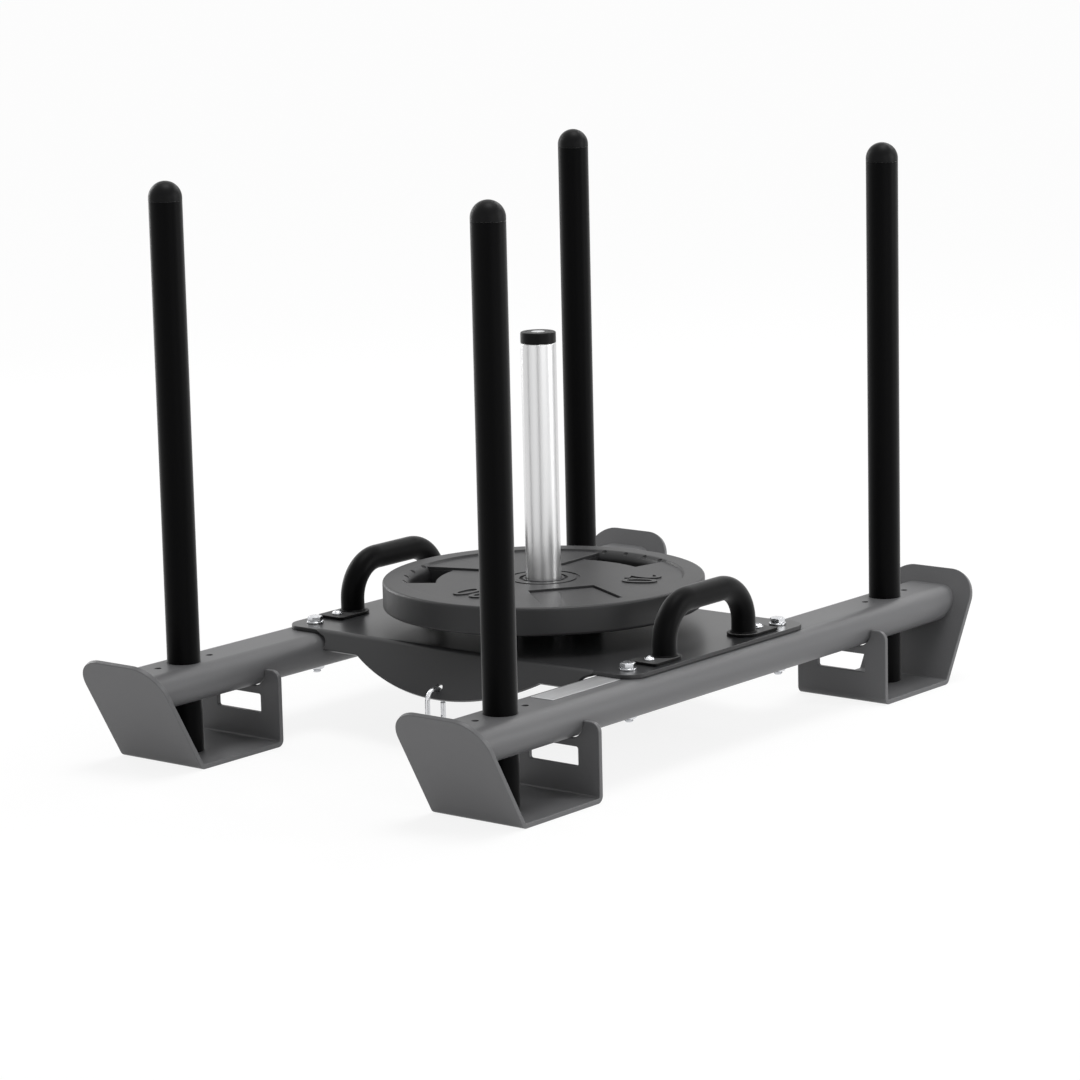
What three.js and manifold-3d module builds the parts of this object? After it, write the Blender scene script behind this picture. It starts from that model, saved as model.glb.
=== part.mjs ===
// Push sled: two rails on bent-plate skids, four lift-out push posts, a bolted centre deck
// with a weight peg, a loaded weight disc, two carrying handles and a tow carabiner.
// Millimetres, +Z up. The origin is on the floor under the weight peg. The rails run along Y
// and the tow end with the carabiner faces -Y.

import * as THREE from 'three';
import { mergeVertices } from 'three/addons/utils/BufferGeometryUtils.js';
import Module from 'manifold-3d';

// Fits
const seatGap = 0.3;
const runningGap = 0.4;
const cutOverrun = 6;

// Rails
const discSideGap = 35.85;
const railWidth = 100;
const railHeight = 50;
const railWall = 3;
const railClearance = 82.3;
const plugHoleDiameter = 10;
const plugHoleOffset = 50.9;

// Skids, each one bent plate
const skidWidth = 153;
const skidThickness = 7;
const skidBendRadius = 3;
const skidHeelReach = 113.6;
const skidToeReach = 50.9;
const skidToeLength = 174.2;
const skidToeLean = THREE.MathUtils.degToRad(29.53);
const skidToeCorner = 45;
const skidEarCorner = 13;
const saddleSide = 1;
const saddleCornerShare = 0.8;
const windowSide = 35.5;
const windowRim = 11;
const windowHeight = 26;
const windowCorner = 3;

// Push posts and their domed caps
const postSpacing = 887.2;
const postDiameter = 46;
const postWall = 2.5;
const postHeight = 793.8;
const capSkirt = 4;
const capPlugLength = 26;

// Centre deck with a bent tow lip at both ends
const deckOverhang = 32.1;
const deckLength = 412;
const deckThickness = 6;
const deckCorner = 30;
const lipBendRadius = 4;
const lipBendInset = 3;
const lipAngle = THREE.MathUtils.degToRad(56);
const lipSideInset = 87;
const lipFillet = 20;
const lipBand = 29;
const lipBellyInset = 62;
const lipReach = 74.5;
const towHolePlace = 58;
const towHoleDiameter = 12;

// Weight peg
const pegDiameter = 50;
const pegWall = 3;
const pegHeight = 401;
const pegCapHeight = 15.6;
const pegCapEdge = 2.5;
const pegCapPlugLength = 20;
const pegPlugHeight = 24;
const pegBoltGrip = 16;

// Rubber bumpers under the weight disc
const bumperDiameter = 46;
const bumperEdge = 2;
const bumperHeight = 32;
const bumperCircle = 120;
const bumperCount = 4;
const bumperTurn = THREE.MathUtils.degToRad(29);
const bumperStudDiameter = 8;
const bumperStudReach = 4;

// Weight disc with its steel hub
const discDiameter = 456;
const discThickness = 40;
const discEdge = 4.5;
const discRimWidth = 29;
const discWebRecess = 3;
const discStepRun = 2;
const discBossDiameter = 90;
const discBossRecess = 0.5;
const hubDiameter = 64;
const hubProud = 1.8;
const hubChamfer = 1.5;
const panelInner = 80.5;
const panelInnerWidth = 96;
const panelRimInset = 38;
const panelHalfAngle = THREE.MathUtils.degToRad(18);
const panelDepth = 2;
const panelAngles = [-34, 86, -154].map((angle) => THREE.MathUtils.degToRad(angle));
const gripPanels = [1, 2];
const gripRadius = 153;
const gripHalfAngle = THREE.MathUtils.degToRad(20);

// Carrying handles and their feet
const handleInset = 114.5;
const handleTubeDiameter = 34.1;
const handleWall = 2.5;
const handleBendRadius = 54;
const handleRise = 74.3;
const footWidth = 47;
const footReach = 51.5;
const footThickness = 4;
const footCorner = 5;
const footBoltPlace = 33.5;
const footBoltDiameter = 8;
const footBoltHeadDiameter = 14;
const footBoltHeadHeight = 4;
const footBoltFlangeDiameter = 16;
const footBoltFlange = 1.5;
const footBoltReach = 6;

// Frame bolts with washers, nuts and crush tubes
const frameBoltInset = 33;
const frameBoltDiameter = 12;
const boltHeadAcross = 19;
const boltHeadHeight = 7;
const washerDiameter = 24;
const washerThickness = 2.5;
const nutHeight = 10;
const boltTail = 5;
const crushTubeDiameter = 20;

// Tow carabiner
const carabinerWire = 6.5;
const carabinerWidth = 39.5;
const carabinerLength = 70;
const carabinerNoseDrop = 4;
const hingeRise = 4.2;
const hingePinDiameter = 2;
const hingePinPlay = 0.15;
const hingeLugThickness = 2.6;
const hingeLugTrim = 0.25;
const hingeNeck = 0.7;
const gateSideGap = 0.3;
const gateTipGap = 0.6;

// Bare name strip on the right rail
const labelLength = 146;
const labelWidth = 37;
const labelThickness = 0.8;
const labelCorner = 2;
const labelInset = 1;
const labelGap = 0.6;

// Facets of the round forms
const fineStep = THREE.MathUtils.degToRad(7.5);
const roundStep = THREE.MathUtils.degToRad(18);
const coarseStep = THREE.MathUtils.degToRad(22.5);
const smallStep = THREE.MathUtils.degToRad(30);

// Places worked out from the sizes above
const fullTurn = 2 * Math.PI;
const quarterTurn = Math.PI / 2;
const railSpacing = discDiameter + handleTubeDiameter + 2 * discSideGap;
const railX = railSpacing / 2;
const railMid = railClearance + railHeight / 2;
const railTop = railClearance + railHeight;
const railFloor = railClearance + railWall;
const railRoof = railTop - railWall;
const postY = postSpacing / 2;
const postRadius = postDiameter / 2;
const skidHeelPlace = postY - skidHeelReach;
const skidToePlace = postY + skidToeReach;
const capSeam = postHeight - postRadius - capSkirt;
const deckBottom = railTop + seatGap;
const deckTop = deckBottom + deckThickness;
const deckWidth = railSpacing + 2 * deckOverhang;
const lipWidth = deckWidth - 2 * lipSideInset;
const lipBellyWidth = lipWidth - 2 * lipBellyInset;
const lipBendPlace = deckLength / 2 - lipBendInset;
const lipBendTop = lipBendRadius + deckThickness;
const lipBendStart = lipBendPlace - lipBendTop * Math.tan(lipAngle / 2);
const lipRootHalf = lipWidth / 2 + lipFillet;
const pegRadius = pegDiameter / 2;
const pegBase = deckTop + seatGap;
const pegTop = pegBase + pegHeight;
const bumperTop = deckTop + seatGap + bumperHeight;
const discBottom = bumperTop + seatGap - discWebRecess;
const discTop = discBottom + discThickness;
const discRadius = discDiameter / 2;
const panelOuterRadius = discRadius - panelRimInset;
const hubBore = pegRadius + runningGap;
const handleY = deckLength / 2 - handleInset;
const footBottom = deckTop + seatGap;
const footTop = footBottom + footThickness;
const frameBoltY = deckLength / 2 - frameBoltInset;
const footBoltY = handleY + footBoltPlace;
const boltHeadBase = deckTop + seatGap + washerThickness + seatGap;
const nutTop = railClearance - seatGap;

const wasm = await Module();
wasm.setup();

const alongX = new THREE.Matrix4().makeBasis(
  new THREE.Vector3(0, 1, 0), new THREE.Vector3(0, 0, 1), new THREE.Vector3(1, 0, 0));
const alongY = new THREE.Matrix4().makeBasis(
  new THREE.Vector3(1, 0, 0), new THREE.Vector3(0, 0, 1), new THREE.Vector3(0, -1, 0));

// Closed body of a geometry, ready to be cut and joined
function solidOf(geometry) {
  const bare = geometry.clone();
  bare.deleteAttribute('normal');
  bare.deleteAttribute('uv');
  const welded = mergeVertices(bare);
  return new wasm.Manifold(new wasm.Mesh({
    numProp: 3,
    vertProperties: Float32Array.from(welded.attributes.position.array),
    triVerts: Uint32Array.from(welded.index.array),
  }));
}

function geometryOf(solid) {
  const mesh = solid.getMesh();
  const geometry = new THREE.BufferGeometry();
  geometry.setAttribute('position', new THREE.BufferAttribute(mesh.vertProperties, 3));
  geometry.setIndex(new THREE.BufferAttribute(mesh.triVerts, 1));
  geometry.computeVertexNormals();
  return geometry;
}

// Points along an arc, in equal steps no wider than the step given
function arcPoints(x, y, radius, from, to, step = roundStep) {
  const count = Math.max(1, Math.round(Math.abs(to - from) / step));
  return Array.from({ length: count + 1 }, (_, i) => {
    const angle = from + (to - from) * i / count;
    return new THREE.Vector2(x + radius * Math.cos(angle), y + radius * Math.sin(angle));
  });
}

function circlePoints(radius, step = roundStep, x = 0, y = 0) {
  return arcPoints(x, y, radius, 0, fullTurn, step).slice(0, -1);
}

function boxPoints(halfWidth, low, high, corner, step = smallStep) {
  return [
    ...arcPoints(halfWidth - corner, low + corner, corner, -quarterTurn, 0, step),
    ...arcPoints(halfWidth - corner, high - corner, corner, 0, quarterTurn, step),
    ...arcPoints(corner - halfWidth, high - corner, corner, quarterTurn, Math.PI, step),
    ...arcPoints(corner - halfWidth, low + corner, corner, Math.PI, Math.PI + quarterTurn, step),
  ];
}

function ovalPoints(width, height, step) {
  const radius = height / 2;
  const flat = width / 2 - radius;
  return [
    ...arcPoints(flat, 0, radius, -quarterTurn, quarterTurn, step),
    ...arcPoints(-flat, 0, radius, quarterTurn, Math.PI + quarterTurn, step),
  ];
}

function point(x, y) {
  return new THREE.Vector2(x, y);
}

// Outline pulled straight from a low to a high level, with both levels exact
function pulled(points, low, high, holes = []) {
  const shape = new THREE.Shape(points);
  shape.holes = holes.map((hole) => new THREE.Path(hole));
  const geometry = new THREE.ExtrudeGeometry(shape, { depth: high - low, bevelEnabled: false });
  const { position } = geometry.attributes;
  for (let i = 0; i < position.count; i += 1) {
    position.setZ(i, position.getZ(i) > 0 ? high : low);
  }
  return geometry;
}

function pulledUp(points, low, high, holes) {
  return solidOf(pulled(points, low, high, holes));
}

// Outline drawn in y and z, pulled along x
function pulledAcross(points, low, high) {
  return solidOf(pulled(points, low, high).applyMatrix4(alongX));
}

// Outline drawn in x and z, pulled along y
function pulledBack(points, low, high, holes) {
  return solidOf(pulled(points, -high, -low, holes).applyMatrix4(alongY));
}

// Profile of radius and height, turned about the upright axis
function turned(points, step = roundStep) {
  const geometry = new THREE.LatheGeometry(points, Math.round(fullTurn / step));
  geometry.rotateX(quarterTurn);
  return solidOf(geometry);
}

function ring(inner, outer, low, high, step) {
  return turned([point(inner, low), point(outer, low), point(outer, high),
    point(inner, high), point(inner, low)], step);
}

function rod(radius, low, high, step) {
  return turned([point(0, low), point(radius, low), point(radius, high), point(0, high)], step);
}

function rodAt(x, y, radius, low, high, step = smallStep) {
  return rod(radius, low, high, step).translate([x, y, 0]);
}

function hexPoints(across) {
  const corner = across / 2 / Math.cos(Math.PI / 6);
  return circlePoints(corner, Math.PI / 3);
}

// Tube run that follows points with known directions, such as arcs between straights
class TubeRun extends THREE.Curve {
  constructor(stations) {
    super();
    this.stations = stations;
  }

  station(share) {
    return this.stations[Math.round(share * (this.stations.length - 1))];
  }

  getPointAt(share) {
    return this.station(share).place.clone();
  }

  getTangentAt(share) {
    return this.station(share).heading.clone();
  }

  getPoint(share) {
    return this.getPointAt(share);
  }
}

// Stations of an arc in the y-z plane
function bendStations(y, z, radius, from, to, step) {
  const turn = Math.sign(to - from);
  const count = Math.round(Math.abs(to - from) / step);
  return Array.from({ length: count + 1 }, (_, i) => {
    const angle = from + (to - from) * i / count;
    return {
      place: new THREE.Vector3(0, y + radius * Math.cos(angle), z + radius * Math.sin(angle)),
      heading: new THREE.Vector3(0, -turn * Math.sin(angle), turn * Math.cos(angle)),
    };
  });
}

function straightStation(y, z, headingZ) {
  return { place: new THREE.Vector3(0, y, z), heading: new THREE.Vector3(0, 0, headingZ) };
}

function tubeSolid(stations, radius, bore, step) {
  const section = new THREE.Shape(circlePoints(radius, step));
  if (bore > 0) {
    section.holes = [new THREE.Path(circlePoints(bore, step))];
  }
  return solidOf(new THREE.ExtrudeGeometry(section, {
    steps: stations.length - 1,
    extrudePath: new TubeRun(stations),
    bevelEnabled: false,
  }));
}

// Place of the inclined toe plate's inner face at a height
function toeInner(height) {
  return skidToePlace - skidThickness / Math.cos(skidToeLean) + height * Math.tan(skidToeLean);
}

function makeRail() {
  const halfSpan = skidToePlace + skidToeLength;
  const outer = ovalPoints(railWidth, railHeight, coarseStep);
  const inner = ovalPoints(railWidth - 2 * railWall, railHeight - 2 * railWall, coarseStep);
  const tube = pulledBack(outer, -halfSpan, halfSpan, [inner]).translate([0, 0, railMid]);
  const endGap = seatGap / Math.cos(skidToeLean);
  const low = toeInner(railClearance - cutOverrun) - endGap;
  const high = toeInner(railTop + cutOverrun) - endGap;
  const mitre = pulledAcross([
    point(-low, railClearance - cutOverrun), point(low, railClearance - cutOverrun),
    point(high, railTop + cutOverrun), point(-high, railTop + cutOverrun),
  ], -railWidth, railWidth);
  let rail = tube.intersect(mitre);
  for (const side of [-1, 1]) {
    rail = rail.subtract(rodAt(0, side * postY, postRadius + runningGap,
      railClearance - cutOverrun, railTop + cutOverrun, roundStep));
    for (const way of [-1, 1]) {
      rail = rail.subtract(rodAt(0, side * postY + way * plugHoleOffset, plugHoleDiameter / 2,
        railMid, railTop + cutOverrun));
    }
    rail = rail.subtract(rodAt(0, side * frameBoltY, frameBoltDiameter / 2 + seatGap,
      railClearance - cutOverrun, railTop + cutOverrun));
    rail = rail.subtract(rodAt(0, side * footBoltY, footBoltDiameter / 2 + seatGap,
      railMid, railTop + cutOverrun));
  }
  return rail;
}

// Cutter that rounds the corner at the given place to a radius
function cornerPoints(x, y, radius) {
  return [
    point(x + cutOverrun, y + cutOverrun), point(x - radius, y + cutOverrun),
    ...arcPoints(x - radius, y - radius, radius, quarterTurn, 0),
    point(x + cutOverrun, y - radius),
  ];
}

function mirrored(points) {
  return points.map(({ x, y }) => point(-x, y)).reverse();
}

function makeSkid() {
  const half = skidWidth / 2;
  const bendOuter = skidBendRadius + skidThickness;
  const toeTurn = quarterTurn - skidToeLean;
  const toeBendY = skidToePlace - bendOuter * Math.tan(toeTurn / 2);
  const heelBendY = skidHeelPlace + bendOuter;
  const toeY = skidToePlace + skidToeLength * Math.sin(skidToeLean);
  const toeZ = skidToeLength * Math.cos(skidToeLean);
  const plate = pulledAcross([
    point(skidHeelPlace, railMid),
    ...arcPoints(heelBendY, bendOuter, bendOuter, Math.PI, Math.PI + quarterTurn),
    ...arcPoints(toeBendY, bendOuter, bendOuter, -quarterTurn, toeTurn - quarterTurn),
    point(toeY, toeZ),
    point(toeY - skidThickness * Math.cos(skidToeLean), toeZ + skidThickness * Math.sin(skidToeLean)),
    ...arcPoints(toeBendY, bendOuter, skidBendRadius, toeTurn - quarterTurn, -quarterTurn, smallStep),
    ...arcPoints(heelBendY, bendOuter, skidBendRadius, Math.PI + quarterTurn, Math.PI, smallStep),
    point(skidHeelPlace + skidThickness, railMid),
  ], -half, half);

  const heelLow = skidHeelPlace - cutOverrun;
  const heelHigh = skidHeelPlace + skidThickness + cutOverrun;
  const saddleHalf = railWidth / 2 + saddleSide;
  const saddleBottom = railClearance - seatGap;
  const saddleCorner = railHeight / 2 * saddleCornerShare;
  const saddle = pulledBack([
    ...arcPoints(saddleHalf - saddleCorner, saddleBottom + saddleCorner, saddleCorner, -quarterTurn, 0),
    point(saddleHalf, railMid + cutOverrun), point(-saddleHalf, railMid + cutOverrun),
    ...arcPoints(saddleCorner - saddleHalf, saddleBottom + saddleCorner, saddleCorner,
      Math.PI, Math.PI + quarterTurn),
  ], heelLow, heelHigh);
  const windowTop = saddleBottom - windowRim;
  const window = pulledBack(boxPoints(half - windowSide, windowTop - windowHeight, windowTop,
    windowCorner), heelLow, heelHigh);
  const earCut = cornerPoints(half, railMid, skidEarCorner);
  const toeCut = cornerPoints(half, skidToeLength, skidToeCorner);
  const toePlane = new THREE.Matrix4().makeBasis(
    new THREE.Vector3(1, 0, 0),
    new THREE.Vector3(0, Math.sin(skidToeLean), Math.cos(skidToeLean)),
    new THREE.Vector3(0, -Math.cos(skidToeLean), Math.sin(skidToeLean)));
  toePlane.setPosition(0, skidToePlace, 0);
  let skid = plate.subtract(saddle).subtract(window);
  for (const cut of [earCut, mirrored(earCut)]) {
    skid = skid.subtract(pulledBack(cut, heelLow, heelHigh));
  }
  for (const cut of [toeCut, mirrored(toeCut)]) {
    const corner = pulled(cut, -cutOverrun, skidThickness + cutOverrun);
    skid = skid.subtract(solidOf(corner.applyMatrix4(toePlane)));
  }
  return skid;
}

function makePost() {
  return ring(postRadius - postWall, postRadius, skidThickness + seatGap, capSeam, roundStep);
}

function makePostCap() {
  const plugRadius = postRadius - postWall - seatGap;
  const base = capSeam + seatGap;
  return turned([
    point(0, capSeam - capPlugLength), point(plugRadius, capSeam - capPlugLength),
    point(plugRadius, base), point(postRadius, base),
    ...arcPoints(0, postHeight - postRadius, postRadius, 0, quarterTurn).slice(0, -1),
    point(0, postHeight),
  ]);
}

// Tow lip of the +Y end, bent down from the deck's flat
function makeLip() {
  const run = point(Math.cos(lipAngle), -Math.sin(lipAngle));
  const face = point(Math.sin(lipAngle), Math.cos(lipAngle));
  const bendZ = deckTop - lipBendTop;
  const endY = lipBendPlace + lipReach * run.x;
  const endZ = deckTop + lipReach * run.y;
  const rootY = lipBendStart - lipFillet;
  const strip = pulledAcross([
    point(rootY, deckTop), point(rootY, deckBottom),
    ...arcPoints(lipBendStart, bendZ, lipBendRadius, quarterTurn, quarterTurn - lipAngle, coarseStep),
    point(endY - deckThickness * face.x, endZ - deckThickness * face.y),
    point(endY, endZ),
    ...arcPoints(lipBendStart, bendZ, lipBendTop, quarterTurn - lipAngle, quarterTurn),
  ], -lipRootHalf, lipRootHalf);

  const sagitta = lipReach - lipBand;
  const bellyHalf = lipBellyWidth / 2;
  const bellyRadius = (bellyHalf ** 2 + sagitta ** 2) / (2 * sagitta);
  const bellyTurn = Math.asin(bellyHalf / bellyRadius);
  const rightSide = [
    point(lipRootHalf + cutOverrun, -deckLength), point(lipRootHalf + cutOverrun, lipBendInset),
    ...arcPoints(lipRootHalf, lipBendInset + lipFillet, lipFillet, -quarterTurn, -Math.PI),
    point(lipWidth / 2, lipBand),
    ...arcPoints(0, lipReach - bellyRadius, bellyRadius, quarterTurn - bellyTurn, quarterTurn,
      bellyTurn / 9),
  ];
  const outline = [...rightSide, ...mirrored(rightSide).slice(1)];
  const lipPlane = new THREE.Matrix4().makeBasis(
    new THREE.Vector3(1, 0, 0), new THREE.Vector3(0, run.x, run.y),
    new THREE.Vector3(0, face.x, face.y));
  lipPlane.setPosition(0, lipBendPlace, deckTop);
  const sheet = pulled(outline, -deckLength, deckLength).applyMatrix4(lipPlane);
  const hole = new THREE.CylinderGeometry(towHoleDiameter / 2, towHoleDiameter / 2,
    2 * cutOverrun + deckThickness, Math.round(fullTurn / coarseStep));
  hole.rotateX(quarterTurn);
  hole.translate(0, towHolePlace, -deckThickness / 2);
  hole.applyMatrix4(lipPlane);
  return strip.intersect(solidOf(sheet)).subtract(solidOf(hole));
}

function makeDeck() {
  const half = deckWidth / 2;
  const front = deckLength / 2;
  const rightEnd = [
    point(0, lipBendStart), point(lipRootHalf, lipBendStart), point(lipRootHalf, front),
    ...arcPoints(half - deckCorner, front - deckCorner, deckCorner, quarterTurn, 0),
  ];
  const rightSide = [...rightEnd, ...rightEnd.map(({ x, y }) => point(x, -y)).reverse()];
  const leftSide = mirrored(rightSide).slice(1, -1);
  const flat = pulledUp([...rightSide, ...leftSide].reverse(), deckBottom, deckTop);
  const lip = makeLip();
  let deck = flat.add(lip).add(lip.rotate([0, 0, 180]));
  const low = deckBottom - cutOverrun;
  const high = deckTop + cutOverrun;
  const centreHole = rod(frameBoltDiameter / 2 + seatGap, low, high, smallStep);
  deck = deck.subtract(centreHole);
  for (const sideX of [-1, 1]) {
    for (const sideY of [-1, 1]) {
      deck = deck.subtract(rodAt(sideX * railX, sideY * frameBoltY,
        frameBoltDiameter / 2 + seatGap, low, high));
      deck = deck.subtract(rodAt(sideX * railX, sideY * footBoltY,
        footBoltDiameter / 2 + seatGap, low, high));
    }
  }
  for (const { x, y } of bumperPlaces()) {
    deck = deck.subtract(rodAt(x, y, bumperStudDiameter / 2 + seatGap, low, high));
  }
  return deck;
}

function bumperPlaces() {
  return Array.from({ length: bumperCount }, (_, i) => {
    const angle = bumperTurn + fullTurn * i / bumperCount;
    return point(bumperCircle / 2 * Math.cos(angle), bumperCircle / 2 * Math.sin(angle));
  });
}

// Rubber buffer with its stud screwed down through the deck
function makeBumper() {
  const radius = bumperDiameter / 2;
  const stud = bumperStudDiameter / 2;
  const base = deckTop + seatGap;
  return turned([
    point(0, deckBottom - bumperStudReach), point(stud, deckBottom - bumperStudReach),
    point(stud, base), point(radius, base), point(radius, bumperTop - bumperEdge),
    point(radius - bumperEdge, bumperTop), point(0, bumperTop),
  ], coarseStep);
}

function makePegTube() {
  return ring(pegRadius - pegWall, pegRadius, pegBase, pegTop, roundStep);
}

// Threaded plug in the foot of the peg
function makePegPlug() {
  return ring(frameBoltDiameter / 2 + seatGap, pegRadius - pegWall - seatGap,
    pegBase, pegBase + pegPlugHeight, smallStep);
}

function makePegCap() {
  const plugRadius = pegRadius - pegWall - seatGap;
  const base = pegTop + seatGap;
  const top = base + pegCapHeight;
  return turned([
    point(0, pegTop - pegCapPlugLength), point(plugRadius, pegTop - pegCapPlugLength),
    point(plugRadius, base), point(pegRadius, base),
    ...arcPoints(pegRadius - pegCapEdge, top - pegCapEdge, pegCapEdge, 0, quarterTurn, smallStep),
    point(0, top),
  ]);
}

function makePegWasher() {
  return ring(frameBoltDiameter / 2 + seatGap, washerDiameter / 2,
    deckBottom - seatGap - washerThickness, deckBottom - seatGap, smallStep);
}

function makePegBolt() {
  const headTop = deckBottom - seatGap - washerThickness - seatGap;
  const head = pulledUp(hexPoints(boltHeadAcross), headTop - boltHeadHeight, headTop);
  const shank = rod(frameBoltDiameter / 2, headTop - boltHeadHeight / 2, pegBase + pegBoltGrip,
    smallStep);
  return head.add(shank);
}

// Rubber disc with a raised rim and a sunk web on both faces, and a boss round the hub on top
function discProfile() {
  const bore = hubDiameter / 2 + seatGap;
  const boss = discBossDiameter / 2;
  const rimInner = discRadius - discRimWidth;
  const edge = discRadius - discEdge;
  const bossHigh = discTop + hubProud - discBossRecess;
  const webHigh = discTop - discWebRecess;
  const webLow = discBottom + discWebRecess;
  return [
    point(bore, webLow), point(rimInner - discStepRun, webLow), point(rimInner, discBottom),
    ...arcPoints(edge, discBottom + discEdge, discEdge, -quarterTurn, 0, smallStep),
    ...arcPoints(edge, discTop - discEdge, discEdge, 0, quarterTurn, smallStep),
    point(rimInner, discTop), point(rimInner - discStepRun, webHigh),
    point(boss + discStepRun, webHigh), point(boss, bossHigh), point(bore, bossHigh),
    point(bore, webLow),
  ];
}

function panelPoints() {
  return [
    point(panelInner, -panelInnerWidth / 2),
    ...arcPoints(0, 0, panelOuterRadius, -panelHalfAngle, panelHalfAngle, fineStep),
    point(panelInner, panelInnerWidth / 2),
  ];
}

function gripPoints() {
  return [
    ...arcPoints(0, 0, panelOuterRadius, -panelHalfAngle, panelHalfAngle, fineStep),
    ...arcPoints(0, 0, gripRadius, gripHalfAngle, -gripHalfAngle, fineStep),
  ];
}

function makeDisc() {
  const webTop = discTop - discWebRecess;
  const panel = pulledUp(panelPoints(), webTop - panelDepth, discTop + cutOverrun);
  const grip = pulledUp(gripPoints(), discBottom - cutOverrun, discTop + cutOverrun);
  let disc = turned(discProfile(), fineStep);
  panelAngles.forEach((angle, i) => {
    const turn = [0, 0, THREE.MathUtils.radToDeg(angle)];
    disc = disc.subtract(panel.rotate(turn));
    if (gripPanels.includes(i)) {
      disc = disc.subtract(grip.rotate(turn));
    }
  });
  return disc;
}

function makeHub() {
  const radius = hubDiameter / 2;
  const low = discBottom + discWebRecess;
  const high = discTop + hubProud;
  return turned([
    point(hubBore, low + hubChamfer), point(hubBore + hubChamfer, low),
    point(radius - hubChamfer, low), point(radius, low + hubChamfer),
    point(radius, high - hubChamfer), point(radius - hubChamfer, high),
    point(hubBore + hubChamfer, high), point(hubBore, high - hubChamfer),
    point(hubBore, low + hubChamfer),
  ]);
}

function makeHandle() {
  const radius = handleTubeDiameter / 2;
  const base = footTop + seatGap;
  const top = deckTop + handleRise;
  const bendY = handleY - handleBendRadius;
  const bendZ = top - handleBendRadius;
  const stations = [
    straightStation(-handleY, base, 1),
    ...bendStations(-bendY, bendZ, handleBendRadius, Math.PI, quarterTurn, coarseStep),
    ...bendStations(bendY, bendZ, handleBendRadius, quarterTurn, 0, coarseStep),
    straightStation(handleY, base, -1),
  ];
  return tubeSolid(stations, radius, radius - handleWall, coarseStep);
}

// Foot plate of the +Y leg
function makeFoot() {
  const half = footWidth / 2;
  const end = handleY + footReach;
  const outline = [
    ...arcPoints(0, handleY, half, Math.PI, fullTurn),
    ...arcPoints(half - footCorner, end - footCorner, footCorner, 0, quarterTurn, smallStep),
    ...arcPoints(footCorner - half, end - footCorner, footCorner, quarterTurn, Math.PI, smallStep),
  ];
  return pulledUp(outline, footBottom, footTop)
    .subtract(rodAt(0, footBoltY, footBoltDiameter / 2 + seatGap,
      footBottom - cutOverrun, footTop + cutOverrun));
}

// Flanged button-head bolt
function makeFootBolt() {
  const shank = footBoltDiameter / 2;
  const flange = footBoltFlangeDiameter / 2;
  const head = footBoltHeadDiameter / 2;
  const base = footTop + seatGap;
  const shoulder = base + footBoltFlange;
  const low = railRoof - footBoltReach;
  return turned([
    point(0, low), point(shank, low), point(shank, base), point(flange, base),
    point(flange, shoulder), point(head, shoulder),
    ...arcPoints(0, 0, 1, 0, quarterTurn, smallStep).slice(1, -1)
      .map(({ x, y }) => point(head * x, shoulder + footBoltHeadHeight * y)),
    point(0, shoulder + footBoltHeadHeight),
  ], smallStep);
}

function makeFrameWasher() {
  return ring(frameBoltDiameter / 2 + seatGap, washerDiameter / 2,
    deckTop + seatGap, deckTop + seatGap + washerThickness, smallStep);
}

function makeFrameBolt() {
  const head = pulledUp(hexPoints(boltHeadAcross), boltHeadBase, boltHeadBase + boltHeadHeight);
  const shank = rod(frameBoltDiameter / 2, nutTop - nutHeight - boltTail,
    boltHeadBase + boltHeadHeight / 2, smallStep);
  return head.add(shank);
}

function makeFrameNut() {
  return pulledUp(hexPoints(boltHeadAcross), nutTop - nutHeight, nutTop,
    [circlePoints(frameBoltDiameter / 2 + seatGap, smallStep)]);
}

// Tube round each frame bolt that keeps the rail from being crushed
function makeCrushTube() {
  return ring(frameBoltDiameter / 2 + seatGap, crushTubeDiameter / 2,
    railFloor + seatGap, railRoof - seatGap, smallStep);
}

// Carabiner, hung in the front tow hole in the y-z plane. Its upper bend is centred where the
// wire rests on the lower rim of the hole, square to the lip.
const wireRadius = carabinerWire / 2;
const loopRadius = carabinerWidth / 2 - wireRadius;
const loopInner = loopRadius - wireRadius;
const restDrop = Math.sqrt(loopInner ** 2 - (deckThickness / 2) ** 2);
const loopDrop = towHolePlace + towHoleDiameter / 2 + restDrop - seatGap;
const loopY = -(lipBendPlace + loopDrop * Math.cos(lipAngle) - deckThickness / 2 * Math.sin(lipAngle));
const loopTopZ = deckTop - loopDrop * Math.sin(lipAngle) - deckThickness / 2 * Math.cos(lipAngle);
const loopLowZ = loopTopZ - (carabinerLength - carabinerWidth);
const gateY = loopY + loopRadius;
const pinZ = loopLowZ + hingeRise;

function upright(points, thickness, x = 0) {
  return pulledAcross(points, x - thickness / 2, x + thickness / 2);
}

function pinHole(radius) {
  return upright(circlePoints(radius, smallStep, gateY, pinZ), 2 * carabinerWire);
}

function makeCarabinerBody() {
  const neckTop = pinZ - wireRadius - hingeNeck;
  const stations = [
    straightStation(gateY, loopTopZ - carabinerNoseDrop, 1),
    ...bendStations(loopY, loopTopZ, loopRadius, 0, Math.PI, coarseStep),
    ...bendStations(loopY, loopLowZ, loopRadius, Math.PI, fullTurn, coarseStep).slice(0, -1),
    straightStation(gateY, Math.max(neckTop, loopLowZ), 1),
  ];
  const lugRadius = wireRadius - hingeLugTrim;
  const lug = upright([
    ...arcPoints(gateY, pinZ, lugRadius, 0, Math.PI, smallStep),
    point(gateY - lugRadius, loopLowZ), point(gateY + lugRadius, loopLowZ),
  ], hingeLugThickness);
  return tubeSolid(stations, wireRadius, 0, smallStep).add(lug)
    .subtract(pinHole(hingePinDiameter / 2 + seatGap));
}

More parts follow.
